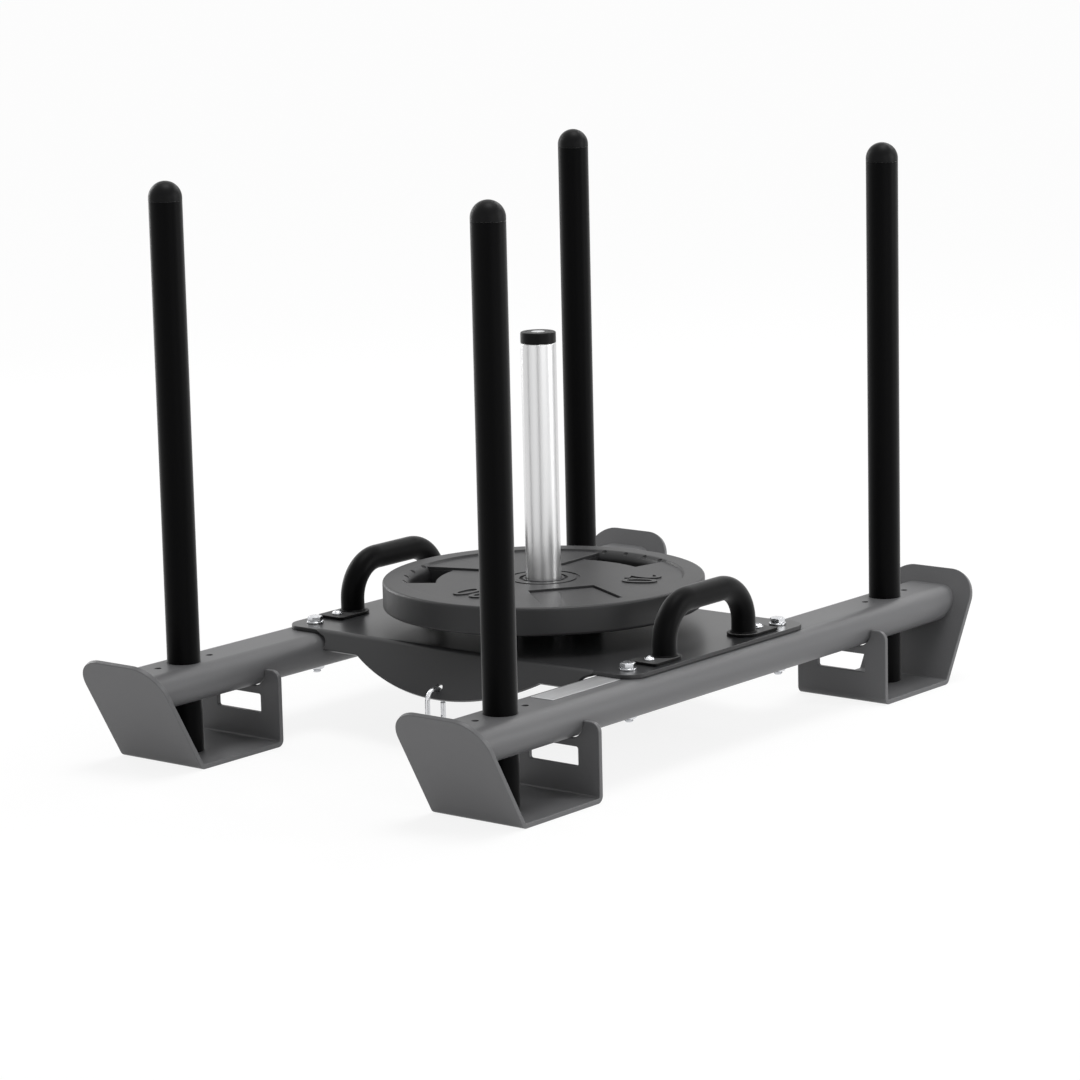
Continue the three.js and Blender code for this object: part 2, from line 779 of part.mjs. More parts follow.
// Gate rod, forked round the lug at its foot
function makeCarabinerGate() {
  const tip = loopTopZ - carabinerNoseDrop - gateTipGap;
  const slotHalf = hingeLugThickness / 2 + gateSideGap;
  const foot = pinZ - wireRadius;
  const stem = rodAt(0, gateY, wireRadius, foot, tip, smallStep);
  const rounded = upright([
    ...arcPoints(gateY, pinZ, wireRadius, Math.PI, fullTurn, smallStep),
    point(gateY + wireRadius, tip), point(gateY - wireRadius, tip),
  ], 2 * carabinerWire);
  const slot = upright([
    point(gateY - carabinerWire, foot - cutOverrun), point(gateY + carabinerWire, foot - cutOverrun),
    point(gateY + carabinerWire, pinZ + wireRadius), point(gateY - carabinerWire, pinZ + wireRadius),
  ], 2 * slotHalf);
  return stem.intersect(rounded).subtract(slot)
    .subtract(pinHole(hingePinDiameter / 2 + hingePinPlay));
}

function makeGatePin() {
  return upright(circlePoints(hingePinDiameter / 2, smallStep, gateY, pinZ), carabinerWire);
}

function makeLabel() {
  const flatEdge = railX - (railWidth - railHeight) / 2;
  const low = railTop + seatGap;
  const outline = boxPoints(labelWidth / 2, -labelLength / 2, labelLength / 2, labelCorner);
  return pulledUp(outline, low, low + labelThickness).translate([
    flatEdge + labelInset + labelWidth / 2, -deckLength / 2 - labelGap - labelLength / 2, 0]);
}

// Finishes
const finishes = {
  greyCoat: { color: 0x66676a, roughness: 0.5, metalness: 0.3 },
  blackCoat: { color: 0x141416, roughness: 0.4, metalness: 0.2 },
  deckCoat: { color: 0x2c2d2f, roughness: 0.35, metalness: 0.3 },
  blackPlastic: { color: 0x121213, roughness: 0.5, metalness: 0 },
  rubber: { color: 0x3a3b3d, roughness: 0.6, metalness: 0 },
  bumperRubber: { color: 0x0f0f10, roughness: 0.8, metalness: 0 },
  pegSteel: { color: 0xd8d9dc, roughness: 0.3, metalness: 1 },
  hubSteel: { color: 0x8a8b8e, roughness: 0.4, metalness: 1 },
  zinc: { color: 0xc4c6ca, roughness: 0.3, metalness: 1 },
  chrome: { color: 0xdfe1e4, roughness: 0.12, metalness: 1 },
  labelSilver: { color: 0xb4b5b8, roughness: 0.4, metalness: 0.8 },
};

const sled = new THREE.Group();

function place(group, name, geometry, finish, x = 0, y = 0, turn = 0) {
  const mesh = new THREE.Mesh(geometry, new THREE.MeshStandardMaterial(finishes[finish]));
  mesh.name = name;
  mesh.position.set(x, y, 0);
  mesh.rotation.z = turn;
  group.add(mesh);
}

const ends = [{ end: 'front', side: -1, turn: Math.PI }, { end: 'rear', side: 1, turn: 0 }];
const hands = [{ hand: 'left', way: -1 }, { hand: 'right', way: 1 }];

// One side of the sled: its rail and all that the rail carries
const railGeometry = geometryOf(makeRail());
const skidGeometry = geometryOf(makeSkid());
const postGeometry = geometryOf(makePost());
const postCapGeometry = geometryOf(makePostCap());
const handleGeometry = geometryOf(makeHandle());
const footGeometry = geometryOf(makeFoot());
const footBoltGeometry = geometryOf(makeFootBolt());
const frameBoltGeometry = geometryOf(makeFrameBolt());
const frameWasherGeometry = geometryOf(makeFrameWasher());
const frameNutGeometry = geometryOf(makeFrameNut());
const crushTubeGeometry = geometryOf(makeCrushTube());

for (const { hand, way } of hands) {
  const half = new THREE.Group();
  half.position.x = way * railX;
  place(half, `rail_${hand}`, railGeometry, 'greyCoat');
  place(half, `handle_${hand}`, handleGeometry, 'blackCoat');
  for (const { end, side, turn } of ends) {
    const spot = `${end}_${hand}`;
    place(half, `skid_${spot}`, skidGeometry, 'greyCoat', 0, 0, turn);
    place(half, `post_${spot}`, postGeometry, 'blackCoat', 0, side * postY);
    place(half, `post_cap_${spot}`, postCapGeometry, 'blackPlastic', 0, side * postY);
    place(half, `handle_foot_${spot}`, footGeometry, 'blackCoat', 0, 0, turn);
    place(half, `foot_bolt_${spot}`, footBoltGeometry, 'zinc', 0, side * footBoltY);
    place(half, `frame_bolt_${spot}`, frameBoltGeometry, 'zinc', 0, side * frameBoltY);
    place(half, `frame_washer_${spot}`, frameWasherGeometry, 'zinc', 0, side * frameBoltY);
    place(half, `frame_nut_${spot}`, frameNutGeometry, 'zinc', 0, side * frameBoltY);
    place(half, `crush_tube_${spot}`, crushTubeGeometry, 'zinc', 0, side * frameBoltY);
  }
  sled.add(half);
}

// Deck, peg, bumpers and weight disc
place(sled, 'deck_plate', geometryOf(makeDeck()), 'deckCoat');
place(sled, 'peg_tube', geometryOf(makePegTube()), 'pegSteel');
place(sled, 'peg_plug', geometryOf(makePegPlug()), 'zinc');
place(sled, 'peg_cap', geometryOf(makePegCap()), 'blackPlastic');
place(sled, 'peg_bolt', geometryOf(makePegBolt()), 'zinc');
place(sled, 'peg_washer', geometryOf(makePegWasher()), 'zinc');
const bumperGeometry = geometryOf(makeBumper());
bumperPlaces().forEach(({ x, y }, i) => {
  place(sled, `bumper_${i + 1}`, bumperGeometry, 'bumperRubber', x, y);
});
place(sled, 'weight_disc', geometryOf(makeDisc()), 'rubber');
place(sled, 'disc_hub', geometryOf(makeHub()), 'hubSteel');

// Tow carabiner and the bare strip
place(sled, 'carabiner_body', geometryOf(makeCarabinerBody()), 'chrome');
place(sled, 'carabiner_gate', geometryOf(makeCarabinerGate()), 'chrome');
place(sled, 'gate_pin', geometryOf(makeGatePin()), 'chrome');
place(sled, 'label_plate', geometryOf(makeLabel()), 'labelSilver');

export default sled;
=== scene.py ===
import math

import bmesh
import bpy
from mathutils import Matrix, Vector


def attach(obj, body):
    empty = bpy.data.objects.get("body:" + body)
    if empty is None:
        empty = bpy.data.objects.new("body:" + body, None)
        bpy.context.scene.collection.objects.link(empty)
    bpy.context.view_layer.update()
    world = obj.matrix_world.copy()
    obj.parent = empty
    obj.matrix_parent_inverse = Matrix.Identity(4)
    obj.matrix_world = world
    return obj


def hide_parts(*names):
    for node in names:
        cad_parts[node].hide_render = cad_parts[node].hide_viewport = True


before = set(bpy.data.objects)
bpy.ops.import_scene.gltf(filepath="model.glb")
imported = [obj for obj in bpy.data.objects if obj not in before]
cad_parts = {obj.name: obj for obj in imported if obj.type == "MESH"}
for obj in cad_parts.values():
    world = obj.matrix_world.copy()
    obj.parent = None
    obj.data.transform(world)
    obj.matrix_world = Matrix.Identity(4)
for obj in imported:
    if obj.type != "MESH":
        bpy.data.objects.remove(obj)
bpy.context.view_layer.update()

mm = 0.001
quarter = math.pi / 2
scene = bpy.context.scene
print("frame loaded:", len(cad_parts), "nodes")


def newObject(name, data):
    obj = bpy.data.objects.new(name, data)
    scene.collection.objects.link(obj)
    return obj


# Camera at the photograph's viewing angle
camera = {"place": (3.3993, -4.2190, 1.2818), "yaw": 38.9, "pitch": 10.69, "roll": -1.32, "lens": 130.24}


def addCamera(s):
    yaw, pitch, roll = (math.radians(s[key]) for key in ("yaw", "pitch", "roll"))
    forward = Vector((-math.sin(yaw) * math.cos(pitch), math.cos(yaw) * math.cos(pitch), -math.sin(pitch)))
    level = Vector((math.cos(yaw), math.sin(yaw), 0))
    up = level.cross(forward)
    right = level * math.cos(roll) + up * math.sin(roll)
    top = up * math.cos(roll) - level * math.sin(roll)
    data = bpy.data.cameras.new("camera")
    data.lens = s["lens"]
    data.sensor_width = 36
    data.clip_end = 60
    obj = newObject("camera", data)
    turned = Matrix((right, top, -forward)).transposed().to_4x4()
    obj.matrix_world = Matrix.Translation(s["place"]) @ turned
    scene.camera = obj


addCamera(camera)


# Lamps: wide light from overhead, a weak key before the tow end, a fill from the right, a strip on either
# side, and one high behind for the soft band of the rails
lamps = [
    {"name": "overhead", "place": (0.2, 0.3, 3.0), "aim": (0, 0, 0), "spread": 30, "power": 1.5},
    {"name": "frontKey", "place": (0.6, -4.4, 1.1), "aim": (0, 0, 0.2), "size": (2.6, 2.0), "power": 8},
    {"name": "sideFill", "place": (4.0, -1.5, 1.2), "aim": (0, 0, 0.2), "size": (2.6, 2.0), "power": 26},
    {"name": "rightStrip", "place": (3.6, 1.9, 1.3), "aim": (0, 0, 0.4), "size": (0.8, 2.4), "power": 60},
    {"name": "leftStrip", "place": (-3.4, 0.4, 1.3), "aim": (0, 0, 0.4), "size": (0.5, 2.4), "power": 30},
    {"name": "rearStrip", "place": (0.3, 3.4, 2.9), "aim": (0, 0, 0.1), "size": (3.4, 0.5), "power": 35},
]


def addLamp(s):
    if "spread" in s:
        data = bpy.data.lights.new(s["name"], "SUN")
        data.angle = math.radians(s["spread"])
    else:
        data = bpy.data.lights.new(s["name"], "AREA")
        data.shape = "RECTANGLE"
        data.size, data.size_y = s["size"]
    data.energy = s["power"]
    obj = newObject(s["name"], data)
    obj.location = s["place"]
    away = Vector(s["place"]) - Vector(s["aim"])
    obj.rotation_mode = "QUATERNION"
    obj.rotation_quaternion = away.to_track_quat("Z", "Y")


for s in lamps:
    addLamp(s)

scene.view_settings.view_transform = "Standard"


def link(tree, source, target):
    # a plain number is set on the socket itself
    if isinstance(source, (int, float)):
        target.default_value = source
    else:
        tree.links.new(source, target)


def addNode(tree, kind, **values):
    node = tree.nodes.new(kind)
    for key, value in values.items():
        setattr(node, key, value)
    return node


def fill(node, values):
    for label, value in values.items():
        node.inputs[label].default_value = value


def mathNode(tree, operation, first, second, clamp=False):
    node = addNode(tree, "ShaderNodeMath", operation=operation, use_clamp=clamp)
    link(tree, first, node.inputs[0])
    link(tree, second, node.inputs[1])
    return node.outputs[0]


def shownDirectly(tree):
    # one for rays that see a surface straight, in a mirror or through glass
    path = addNode(tree, "ShaderNodeLightPath")
    seen = mathNode(tree, "MAXIMUM", path.outputs["Is Camera Ray"], path.outputs["Is Glossy Ray"])
    return mathNode(tree, "MAXIMUM", seen, path.outputs["Is Transmission Ray"])


# White studio: the backdrop is white to the eye and in reflections, and lights the part softly
studio = {"backdrop": 1.0, "skyLight": 0.4, "floorTone": 0.95, "floorRough": 0.9, "floorWhite": 0.86,
          "floorSize": 90, "floorDrop": 0.0004}


def addStudio(s):
    world = bpy.data.worlds.new("studio")
    scene.world = world
    world.use_nodes = True
    tree = world.node_tree
    background = tree.nodes["Background"]
    fill(background, {"Color": (1, 1, 1, 1)})
    span = s["backdrop"] - s["skyLight"]
    strength = mathNode(tree, "MULTIPLY", shownDirectly(tree), span)
    link(tree, mathNode(tree, "ADD", strength, s["skyLight"]), background.inputs["Strength"])

    half = s["floorSize"] / 2
    mesh = bpy.data.meshes.new("floor")
    corners = [(x, y, 0) for x, y in ((-half, -half), (half, -half), (half, half), (-half, half))]
    mesh.from_pydata(corners, [], [(0, 1, 2, 3)])
    floor = newObject("floor", mesh)
    floor.location.z = -s["floorDrop"]
    material = bpy.data.materials.new("floor")
    material.use_nodes = True
    tree = material.node_tree
    shader = tree.nodes["Principled BSDF"]
    fill(shader, {"Base Color": (s["floorTone"],) * 3 + (1,), "Roughness": s["floorRough"],
                  "Specular IOR Level": 0.0})
    glow = addNode(tree, "ShaderNodeEmission")
    fill(glow, {"Strength": 1.0})
    blend = addNode(tree, "ShaderNodeMixShader")
    link(tree, mathNode(tree, "MULTIPLY", shownDirectly(tree), s["floorWhite"]), blend.inputs["Fac"])
    link(tree, shader.outputs[0], blend.inputs[1])
    link(tree, glow.outputs[0], blend.inputs[2])
    link(tree, blend.outputs[0], tree.nodes["Material Output"].inputs["Surface"])
    mesh.materials.append(material)


addStudio(studio)
print("camera, lamps and studio ready")


# Shader node groups that several finishes share
def newGroup(name, inputs):
    # the kind of an input follows from its value: a number, a vector or a colour
    group = bpy.data.node_groups.new(name, "ShaderNodeTree")
    for label, value in inputs.items():
        kind = {3: "Vector", 4: "Color"}[len(value)] if isinstance(value, tuple) else "Float"
        socket = group.interface.new_socket(label, in_out="INPUT", socket_type="NodeSocket" + kind)
        socket.default_value = value
    for label, kind in (("Color", "Color"), ("Roughness", "Float"), ("Height", "Float")):
        group.interface.new_socket(label, in_out="OUTPUT", socket_type="NodeSocket" + kind)
    place = addNode(group, "ShaderNodeTexCoord").outputs["Object"]
    return group, addNode(group, "NodeGroupInput").outputs, place


def noiseOf(tree, vector, scale, detail, roughness=0.5):
    noise = addNode(tree, "ShaderNodeTexNoise")
    for label, value in (("Vector", vector), ("Scale", scale), ("Detail", detail), ("Roughness", roughness)):
        link(tree, value, noise.inputs[label])
    return noise.outputs["Fac"]


def scaledTone(tree, tone, factor):
    # tone times one plus the factor
    node = addNode(tree, "ShaderNodeVectorMath", operation="SCALE")
    link(tree, tone, node.inputs[0])
    link(tree, mathNode(tree, "ADD", factor, 1.0), node.inputs["Scale"])
    return node.outputs[0]


def centred(tree, value, amount):
    # noise turned into a swing of plus or minus the amount
    return mathNode(tree, "MULTIPLY", mathNode(tree, "SUBTRACT", value, 0.5), amount)


def mixed(tree, first, second):
    # seven parts of the first to three of the second
    parts = [mathNode(tree, "MULTIPLY", value, share) for value, share in ((first, 0.7), (second, 0.3))]
    return mathNode(tree, "ADD", *parts)


def closeGroup(group, given, tone, wear, height):
    # the roughness swings with the wear
    result = addNode(group, "NodeGroupOutput")
    swing = centred(group, wear, given["Roughness Swing"])
    rough = mathNode(group, "ADD", given["Roughness"], swing, True)
    for label, value in (("Color", tone), ("Roughness", rough), ("Height", height)):
        link(group, value, result.inputs[label])
    return group


def makeSurfaceGrain():
    # soft drift of the tone over the piece, a fine grain, and a roughness that follows both
    group, given, place = newGroup("surfaceGrain", {
        "Tone": (0.5, 0.5, 0.5, 1), "Drift": 0.1, "Drift Scale": 6.0, "Speckle": 0.1,
        "Grain Scale": 900.0, "Roughness": 0.5, "Roughness Swing": 0.1})
    drift = noiseOf(group, place, given["Drift Scale"], 2.0)
    grain = noiseOf(group, place, given["Grain Scale"], 2.0, 0.6)
    tone = scaledTone(group, given["Tone"], centred(group, drift, given["Drift"]))
    tone = scaledTone(group, tone, centred(group, grain, given["Speckle"]))
    return closeGroup(group, given, tone, mixed(group, drift, grain), grain)


def makeDrawnLines():
    # long lines left by drawing or turning, stretched along one axis
    group, given, place = newGroup("drawnLines", {
        "Tone": (0.5, 0.5, 0.5, 1), "Stretch": (1, 1, 1), "Line Contrast": 0.2,
        "Roughness": 0.3, "Roughness Swing": 0.15})
    stretch = addNode(group, "ShaderNodeVectorMath", operation="MULTIPLY")
    link(group, place, stretch.inputs[0])
    link(group, given["Stretch"], stretch.inputs[1])
    broad = noiseOf(group, stretch.outputs[0], 1.0, 1.5)
    fine = noiseOf(group, stretch.outputs[0], 9.0, 2.0)
    lines = mixed(group, broad, fine)
    tone = scaledTone(group, given["Tone"], centred(group, lines, given["Line Contrast"]))
    return closeGroup(group, given, tone, lines, fine)


surfaceGrain = makeSurfaceGrain()
drawnLines = makeDrawnLines()

# Finishes by the record's material slot
coats = {
    "grey_coat": {"tone": (0.104, 0.1044, 0.1073), "rough": 0.42, "swing": 0.08, "specular": 0.30,
                  "drift": 0.10, "driftScale": 5, "speckle": 0.16, "grain": 1100, "bump": 0.10},
    "black_coat": {"tone": (0.0014, 0.0014, 0.0016), "rough": 0.36, "swing": 0.07, "specular": 0.025,
                   "sheen": 0.28, "drift": 0.25, "driftScale": 4, "speckle": 0.2, "grain": 1300,
                   "bump": 0.07},
    "deck_coat": {"tone": (0.022, 0.0222, 0.0232), "rough": 0.33, "swing": 0.07, "specular": 0.34,
                  "drift": 0.12, "driftScale": 4, "speckle": 0.14, "grain": 1300, "bump": 0.05},
    "black_plastic": {"tone": (0.0024, 0.0024, 0.0027), "rough": 0.42, "swing": 0.08, "specular": 0.09,
                      "sheen": 0.12, "drift": 0.2, "driftScale": 20, "speckle": 0.3, "grain": 1700,
                      "bump": 0.08},
    "disc_rubber": {"tone": (0.023, 0.0231, 0.024), "rough": 0.42, "swing": 0.10, "specular": 0.26,
                    "drift": 0.14, "driftScale": 9, "speckle": 0.22, "grain": 1500, "bump": 0.12},
    "bumper_rubber": {"tone": (0.010, 0.010, 0.0104), "rough": 0.72, "swing": 0.08, "specular": 0.2,
                      "drift": 0.2, "driftScale": 30, "speckle": 0.3, "grain": 1500, "bump": 0.15},
}
metals = {
    "peg_steel": {"tone": (0.66, 0.661, 0.664), "rough": 0.28, "swing": 0.07, "stretch": (110, 110, 0.8),
                  "contrast": 0.08, "bump": 0.02},
    "hub_steel": {"tone": (0.045, 0.045, 0.047), "rough": 0.46, "swing": 0.15, "stretch": (60, 60, 900),
                  "contrast": 0.4, "bump": 0.05},
    "zinc": {"tone": (0.66, 0.67, 0.69), "rough": 0.24, "swing": 0.12, "stretch": (260, 260, 260),
             "contrast": 0.2, "bump": 0.03},
    "chrome": {"tone": (0.66, 0.665, 0.68), "rough": 0.26, "swing": 0.10, "stretch": (160, 160, 160),
               "contrast": 0.3, "bump": 0.02},
    "label_silver": {"tone": (0.60, 0.602, 0.61), "rough": 0.38, "swing": 0.12, "stretch": (900, 12, 60),
                     "contrast": 0.35, "bump": 0.03},
}
coatSockets = {"drift": "Drift", "driftScale": "Drift Scale", "speckle": "Speckle", "grain": "Grain Scale"}
metalSockets = {"stretch": "Stretch", "contrast": "Line Contrast"}
bothSockets = {"rough": "Roughness", "swing": "Roughness Swing"}
bumpDepth = 0.0004
sheenRough = 0.4


def newMaterial(name, s, effect, sockets):
    # material whose colour, roughness and bump come from one of the shared groups
    material = bpy.data.materials.new(name)
    material.use_nodes = True
    tree = material.node_tree
    shader = tree.nodes["Principled BSDF"]
    group = addNode(tree, "ShaderNodeGroup", node_tree=effect)
    fill(group, {"Tone": s["tone"] + (1,)})
    fill(group, {label: s[key] for key, label in {**sockets, **bothSockets}.items()})
    link(tree, group.outputs["Color"], shader.inputs["Base Color"])
    link(tree, group.outputs["Roughness"], shader.inputs["Roughness"])
    bump = addNode(tree, "ShaderNodeBump")
    fill(bump, {"Strength": s["bump"], "Distance": bumpDepth})
    link(tree, group.outputs["Height"], bump.inputs["Height"])
    link(tree, bump.outputs["Normal"], shader.inputs["Normal"])
    return material, shader


def coatMaterial(name, s):
    material, shader = newMaterial(name, s, surfaceGrain, coatSockets)
    fill(shader, {"Specular IOR Level": s["specular"], "Sheen Weight": s.get("sheen", 0),
                  "Sheen Roughness": sheenRough})
    return material


def metalMaterial(name, s):
    material, shader = newMaterial(name, s, drawnLines, metalSockets)
    fill(shader, {"Metallic": 1.0})
    return material


materials = {name: coatMaterial(name, s) for name, s in coats.items()}
materials.update({name: metalMaterial(name, s) for name, s in metals.items()})
print("finishes ready:", len(materials))


# Outlines, in millimetres
def spread(start, end, steps):
    # evenly spaced values, both ends with them
    return [start + (end - start) * i / steps for i in range(steps + 1)]


def eased(share):
    share = min(1, max(0, share))
    return share * share * (3 - 2 * share)


def arc(x, y, radius, start, end, steps):
    return [(x + radius * math.cos(a), y + radius * math.sin(a)) for a in spread(start, end, steps)]


def circle(x, y, radius, steps=48):
    return arc(x, y, radius, 0, 2 * math.pi, steps)[:-1]


def rounded(corners, stepAngle=8):
    # corners of (x, y, radius), each rounded by an arc that touches both sides
    points = []
    for i, (x, y, radius) in enumerate(corners):
        if radius <= 0:
            points.append((x, y))
            continue
        here = Vector((x, y))
        back = (Vector(corners[i - 1][:2]) - here).normalized()
        ahead = (Vector(corners[(i + 1) % len(corners)][:2]) - here).normalized()
        half = back.angle(ahead) / 2
        centre = here + (back + ahead).normalized() * radius / math.sin(half)
        first = here + back * radius / math.tan(half) - centre
        last = here + ahead * radius / math.tan(half) - centre
        turn = math.atan2(first.x * last.y - first.y * last.x, first.dot(last))
        start = math.atan2(first.y, first.x)
        steps = max(1, math.ceil(abs(math.degrees(turn)) / stepAngle))
        points += arc(centre.x, centre.y, radius, start, start + turn, steps)
    return points


def bevelled(*corners):
    # corners of (radius, height, bevel), each cut straight across
    return rounded(corners, 180)


def turnedLeft(loop, wanted=True):
    area = sum(loop[i - 1][0] * loop[i][1] - loop[i][0] * loop[i - 1][1] for i in range(len(loop)))
    return loop if (area > 0) == wanted else loop[::-1]


def turnedLoop(loop, degrees):
    a = math.radians(degrees)
    return [(x * math.cos(a) - y * math.sin(a), x * math.sin(a) + y * math.cos(a)) for x, y in loop]


def insetLoop(loop, distance):
    # the material lies on the left of the loop
    points = []
    for i, here in enumerate(loop):
        here = Vector(here)
        into = (here - Vector(loop[i - 1])).normalized()
        away = (Vector(loop[(i + 1) % len(loop)]) - here).normalized()
        side = Vector((-into.y - away.y, into.x + away.x)).normalized()
        points.append(here + side * distance / max(0.4, side.dot(Vector((-into.y, into.x)))))
    return points


# Meshes, in millimetres
def faceOutward(bm):
    bmesh.ops.recalc_face_normals(bm, faces=bm.faces[:])
    if bm.calc_volume(signed=True) < 0:
        bmesh.ops.reverse_faces(bm, faces=bm.faces[:])


def bridge(bm, rings, closed=True):
    for below, above in zip(rings, rings[1:]):
        count = len(below)
        for i in range(count if closed else count - 1):
            j = (i + 1) % count
            corners = [below[i], below[j], above[j], above[i]]
            corners = [v for k, v in enumerate(corners) if v not in corners[:k]]
            if len(corners) > 2:
                bm.faces.new(corners)


def plateMesh(outline, holes, low, high, edge, edgeSteps=3, highEdge=None):
    # flat plate with rounded edges all round and in its holes
    bm = bmesh.new()
    highEdge = edge if highEdge is None else highEdge
    angles = spread(0, quarter, edgeSteps)
    levels = [(edge * (1 - math.sin(a)), low + edge * (1 - math.cos(a))) for a in angles]
    levels += [(highEdge * (1 - math.sin(a)), high - highEdge * (1 - math.cos(a))) for a in reversed(angles)]
    rims = ([], [])
    for loop in [turnedLeft(outline)] + [turnedLeft(hole, False) for hole in holes]:
        rings = [[bm.verts.new((x, y, z)) for x, y in insetLoop(loop, inset)] for inset, z in levels]
        bridge(bm, rings)
        rims[0].append(rings[0])
        rims[1].append(rings[-1])
    for rim in rims:
        edges = [bm.edges.get((ring[i - 1], ring[i])) for ring in rim for i in range(len(ring))]
        bmesh.ops.triangle_fill(bm, use_beauty=True, use_dissolve=False, edges=edges)
    faceOutward(bm)
    return bm


def latheMesh(profile, steps=72):
    # profile of (radius, height) or of functions of the angle; a closed ring if it doesn't reach the axis
    bm = bmesh.new()
    rings = []
    for entry in profile:
        if not callable(entry) and entry[0] <= 0:
            rings.append([bm.verts.new((0, 0, entry[1]))] * steps)
            continue
        ring = []
        for i in range(steps):
            angle = 2 * math.pi * i / steps
            radius, height = entry(angle) if callable(entry) else entry
            ring.append(bm.verts.new((radius * math.cos(angle), radius * math.sin(angle), height)))
        rings.append(ring)
    if rings[0][0] is not rings[0][1]:
        rings.append(rings[0])
    bridge(bm, rings)
    faceOutward(bm)
    return bm


def sweepMesh(stations, steps=32):
    # round bar in the y-z plane through stations of (y, z, heading angle, radius)
    bm = bmesh.new()
    rings = []
    for y, z, heading, radius in stations:
        if radius <= 0:
            rings.append([bm.verts.new((0, y, z))] * steps)
            continue
        ring = []
        for i in range(steps):
            angle = 2 * math.pi * i / steps
            side, out = radius * math.cos(angle), radius * math.sin(angle)
            ring.append(bm.verts.new((side, y - out * math.sin(heading), z + out * math.cos(heading))))
        rings.append(ring)
    bridge(bm, rings)
    faceOutward(bm)
    return bm


def cutRows(bm, axis, places):
    for place in places:
        point, normal = [0, 0, 0], [0, 0, 0]
        point[axis], normal[axis] = place, 1
        everything = bm.verts[:] + bm.edges[:] + bm.faces[:]
        bmesh.ops.bisect_plane(bm, geom=everything, plane_co=point, plane_no=normal, dist=1e-4)


def foldedPlace(s, n, start, heading, runs):
    # place in the y-z plane of a point of a flat pattern, at s along it and n off its middle
    y, z = start
    for length, bend in runs:
        done = min(s, length)
        if bend == 0:
            y += done * math.cos(heading)
            z += done * math.sin(heading)
        else:
            radius = length / bend
            y -= radius * math.sin(heading)
            z += radius * math.cos(heading)
            heading += done / radius
            y += radius * math.sin(heading)
            z -= radius * math.cos(heading)
        s -= done
        if s <= 0:
            break
    return y - n * math.sin(heading), z + n * math.cos(heading)


def looseObject(name, bm):
    mesh = bpy.data.meshes.new(name)
    bm.to_mesh(mesh)
    obj = newObject(name, mesh)
    return obj


def finishedMesh(obj):
    # mesh of an object with its modifiers or its text worked out
    mesh = bpy.data.meshes.new_from_object(obj.evaluated_get(bpy.context.evaluated_depsgraph_get()))
    bm = bmesh.new()
    bm.from_mesh(mesh)
    bpy.data.meshes.remove(mesh)
    return bm


def combined(first, second, operation):
    # exact union or difference of two closed meshes
    body, tool = looseObject("body", first), looseObject("tool", second)
    modifier = body.modifiers.new("join", "BOOLEAN")
    modifier.operation = operation
    modifier.object = tool
    modifier.solver = "EXACT"
    modifier.use_self = True
    result = finishedMesh(body)
    for obj in (body, tool):
        bpy.data.objects.remove(obj)
    first.free()
    second.free()
    return result


def gathered(parts):
    # several meshes side by side in one
    bm = bmesh.new()
    for part in parts:
        mesh = bpy.data.meshes.new("part")
        part.to_mesh(mesh)
        bm.from_mesh(mesh)
        bpy.data.meshes.remove(mesh)
        part.free()
    return bm


def placing(x, y, z, turn):
    return Matrix.Translation((x, y, z)) @ Matrix.Rotation(turn, 4, "Z")


def moved(bm, x=0, y=0, z=0, turn=0):
    bmesh.ops.transform(bm, matrix=placing(x, y, z, turn), verts=bm.verts)
    return bm


def addPiece(name, bm, slot, *nodes, body="frame", x=0, y=0, turn=0, crease=38):
    mesh = bpy.data.meshes.new(name)
    bm.to_mesh(mesh)
    mesh.transform(Matrix.Scale(mm, 4) @ placing(x, y, 0, turn))
    mesh.materials.clear()
    mesh.materials.append(materials[slot])
    mesh.shade_smooth()
    mesh.set_sharp_from_angle(angle=math.radians(crease))
    obj = newObject(name, mesh)
    weighted = obj.modifiers.new("evenShading", "WEIGHTED_NORMAL")
    weighted.keep_sharp = True
    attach(obj, body)
    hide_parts(*nodes)


def endTurn(side):
    return math.pi if side < 0 else 0


# Rails: flat-oval tubes, mitred against the skids and bored for posts and bolts
rail = {"x": 280.9, "width": 100, "height": 50, "wall": 3, "clearance": 82.3, "postY": 443.6,
        "postHole": 23.4, "sideHole": 5, "sideHoleOffset": 50.9, "boltY": 173, "boltHole": 6.3,
        "footBoltY": 125, "footBoltHole": 4.3, "gap": 0.3, "overcut": 5}
skid = {"width": 153, "thickness": 7, "bendRadius": 6.5, "heelPlace": 330, "toePlace": 494.5,
        "toeLength": 174.2, "lean": math.radians(29.53), "saddleHalf": 51, "saddleCorner": 23.2,
        "mouthCorner": 2, "windowHalf": 41, "windowRim": 11, "windowHeight": 26, "windowCorner": 3,
        "earCorner": 13, "toeCorner": 45, "edge": 1.3}
railMiddle = rail["clearance"] + rail["height"] / 2
hands, ends = (("left", -rail["x"]), ("right", rail["x"])), (("front", -1), ("rear", 1))
spots = [(f"{end}_{hand}", x, side) for hand, x in hands for end, side in ends]


def railLoop(s, shrink):
    radius = s["height"] / 2 - shrink
    flat = s["width"] / 2 - s["height"] / 2
    rightSide = arc(flat, railMiddle, radius, -quarter, quarter, 24)
    return rightSide + arc(-flat, railMiddle, radius, quarter, 3 * quarter, 24)


def railEnd(z):
    inner = skid["toePlace"] - skid["thickness"] / math.cos(skid["lean"]) + z * math.tan(skid["lean"])
    return inner - rail["gap"] / math.cos(skid["lean"])


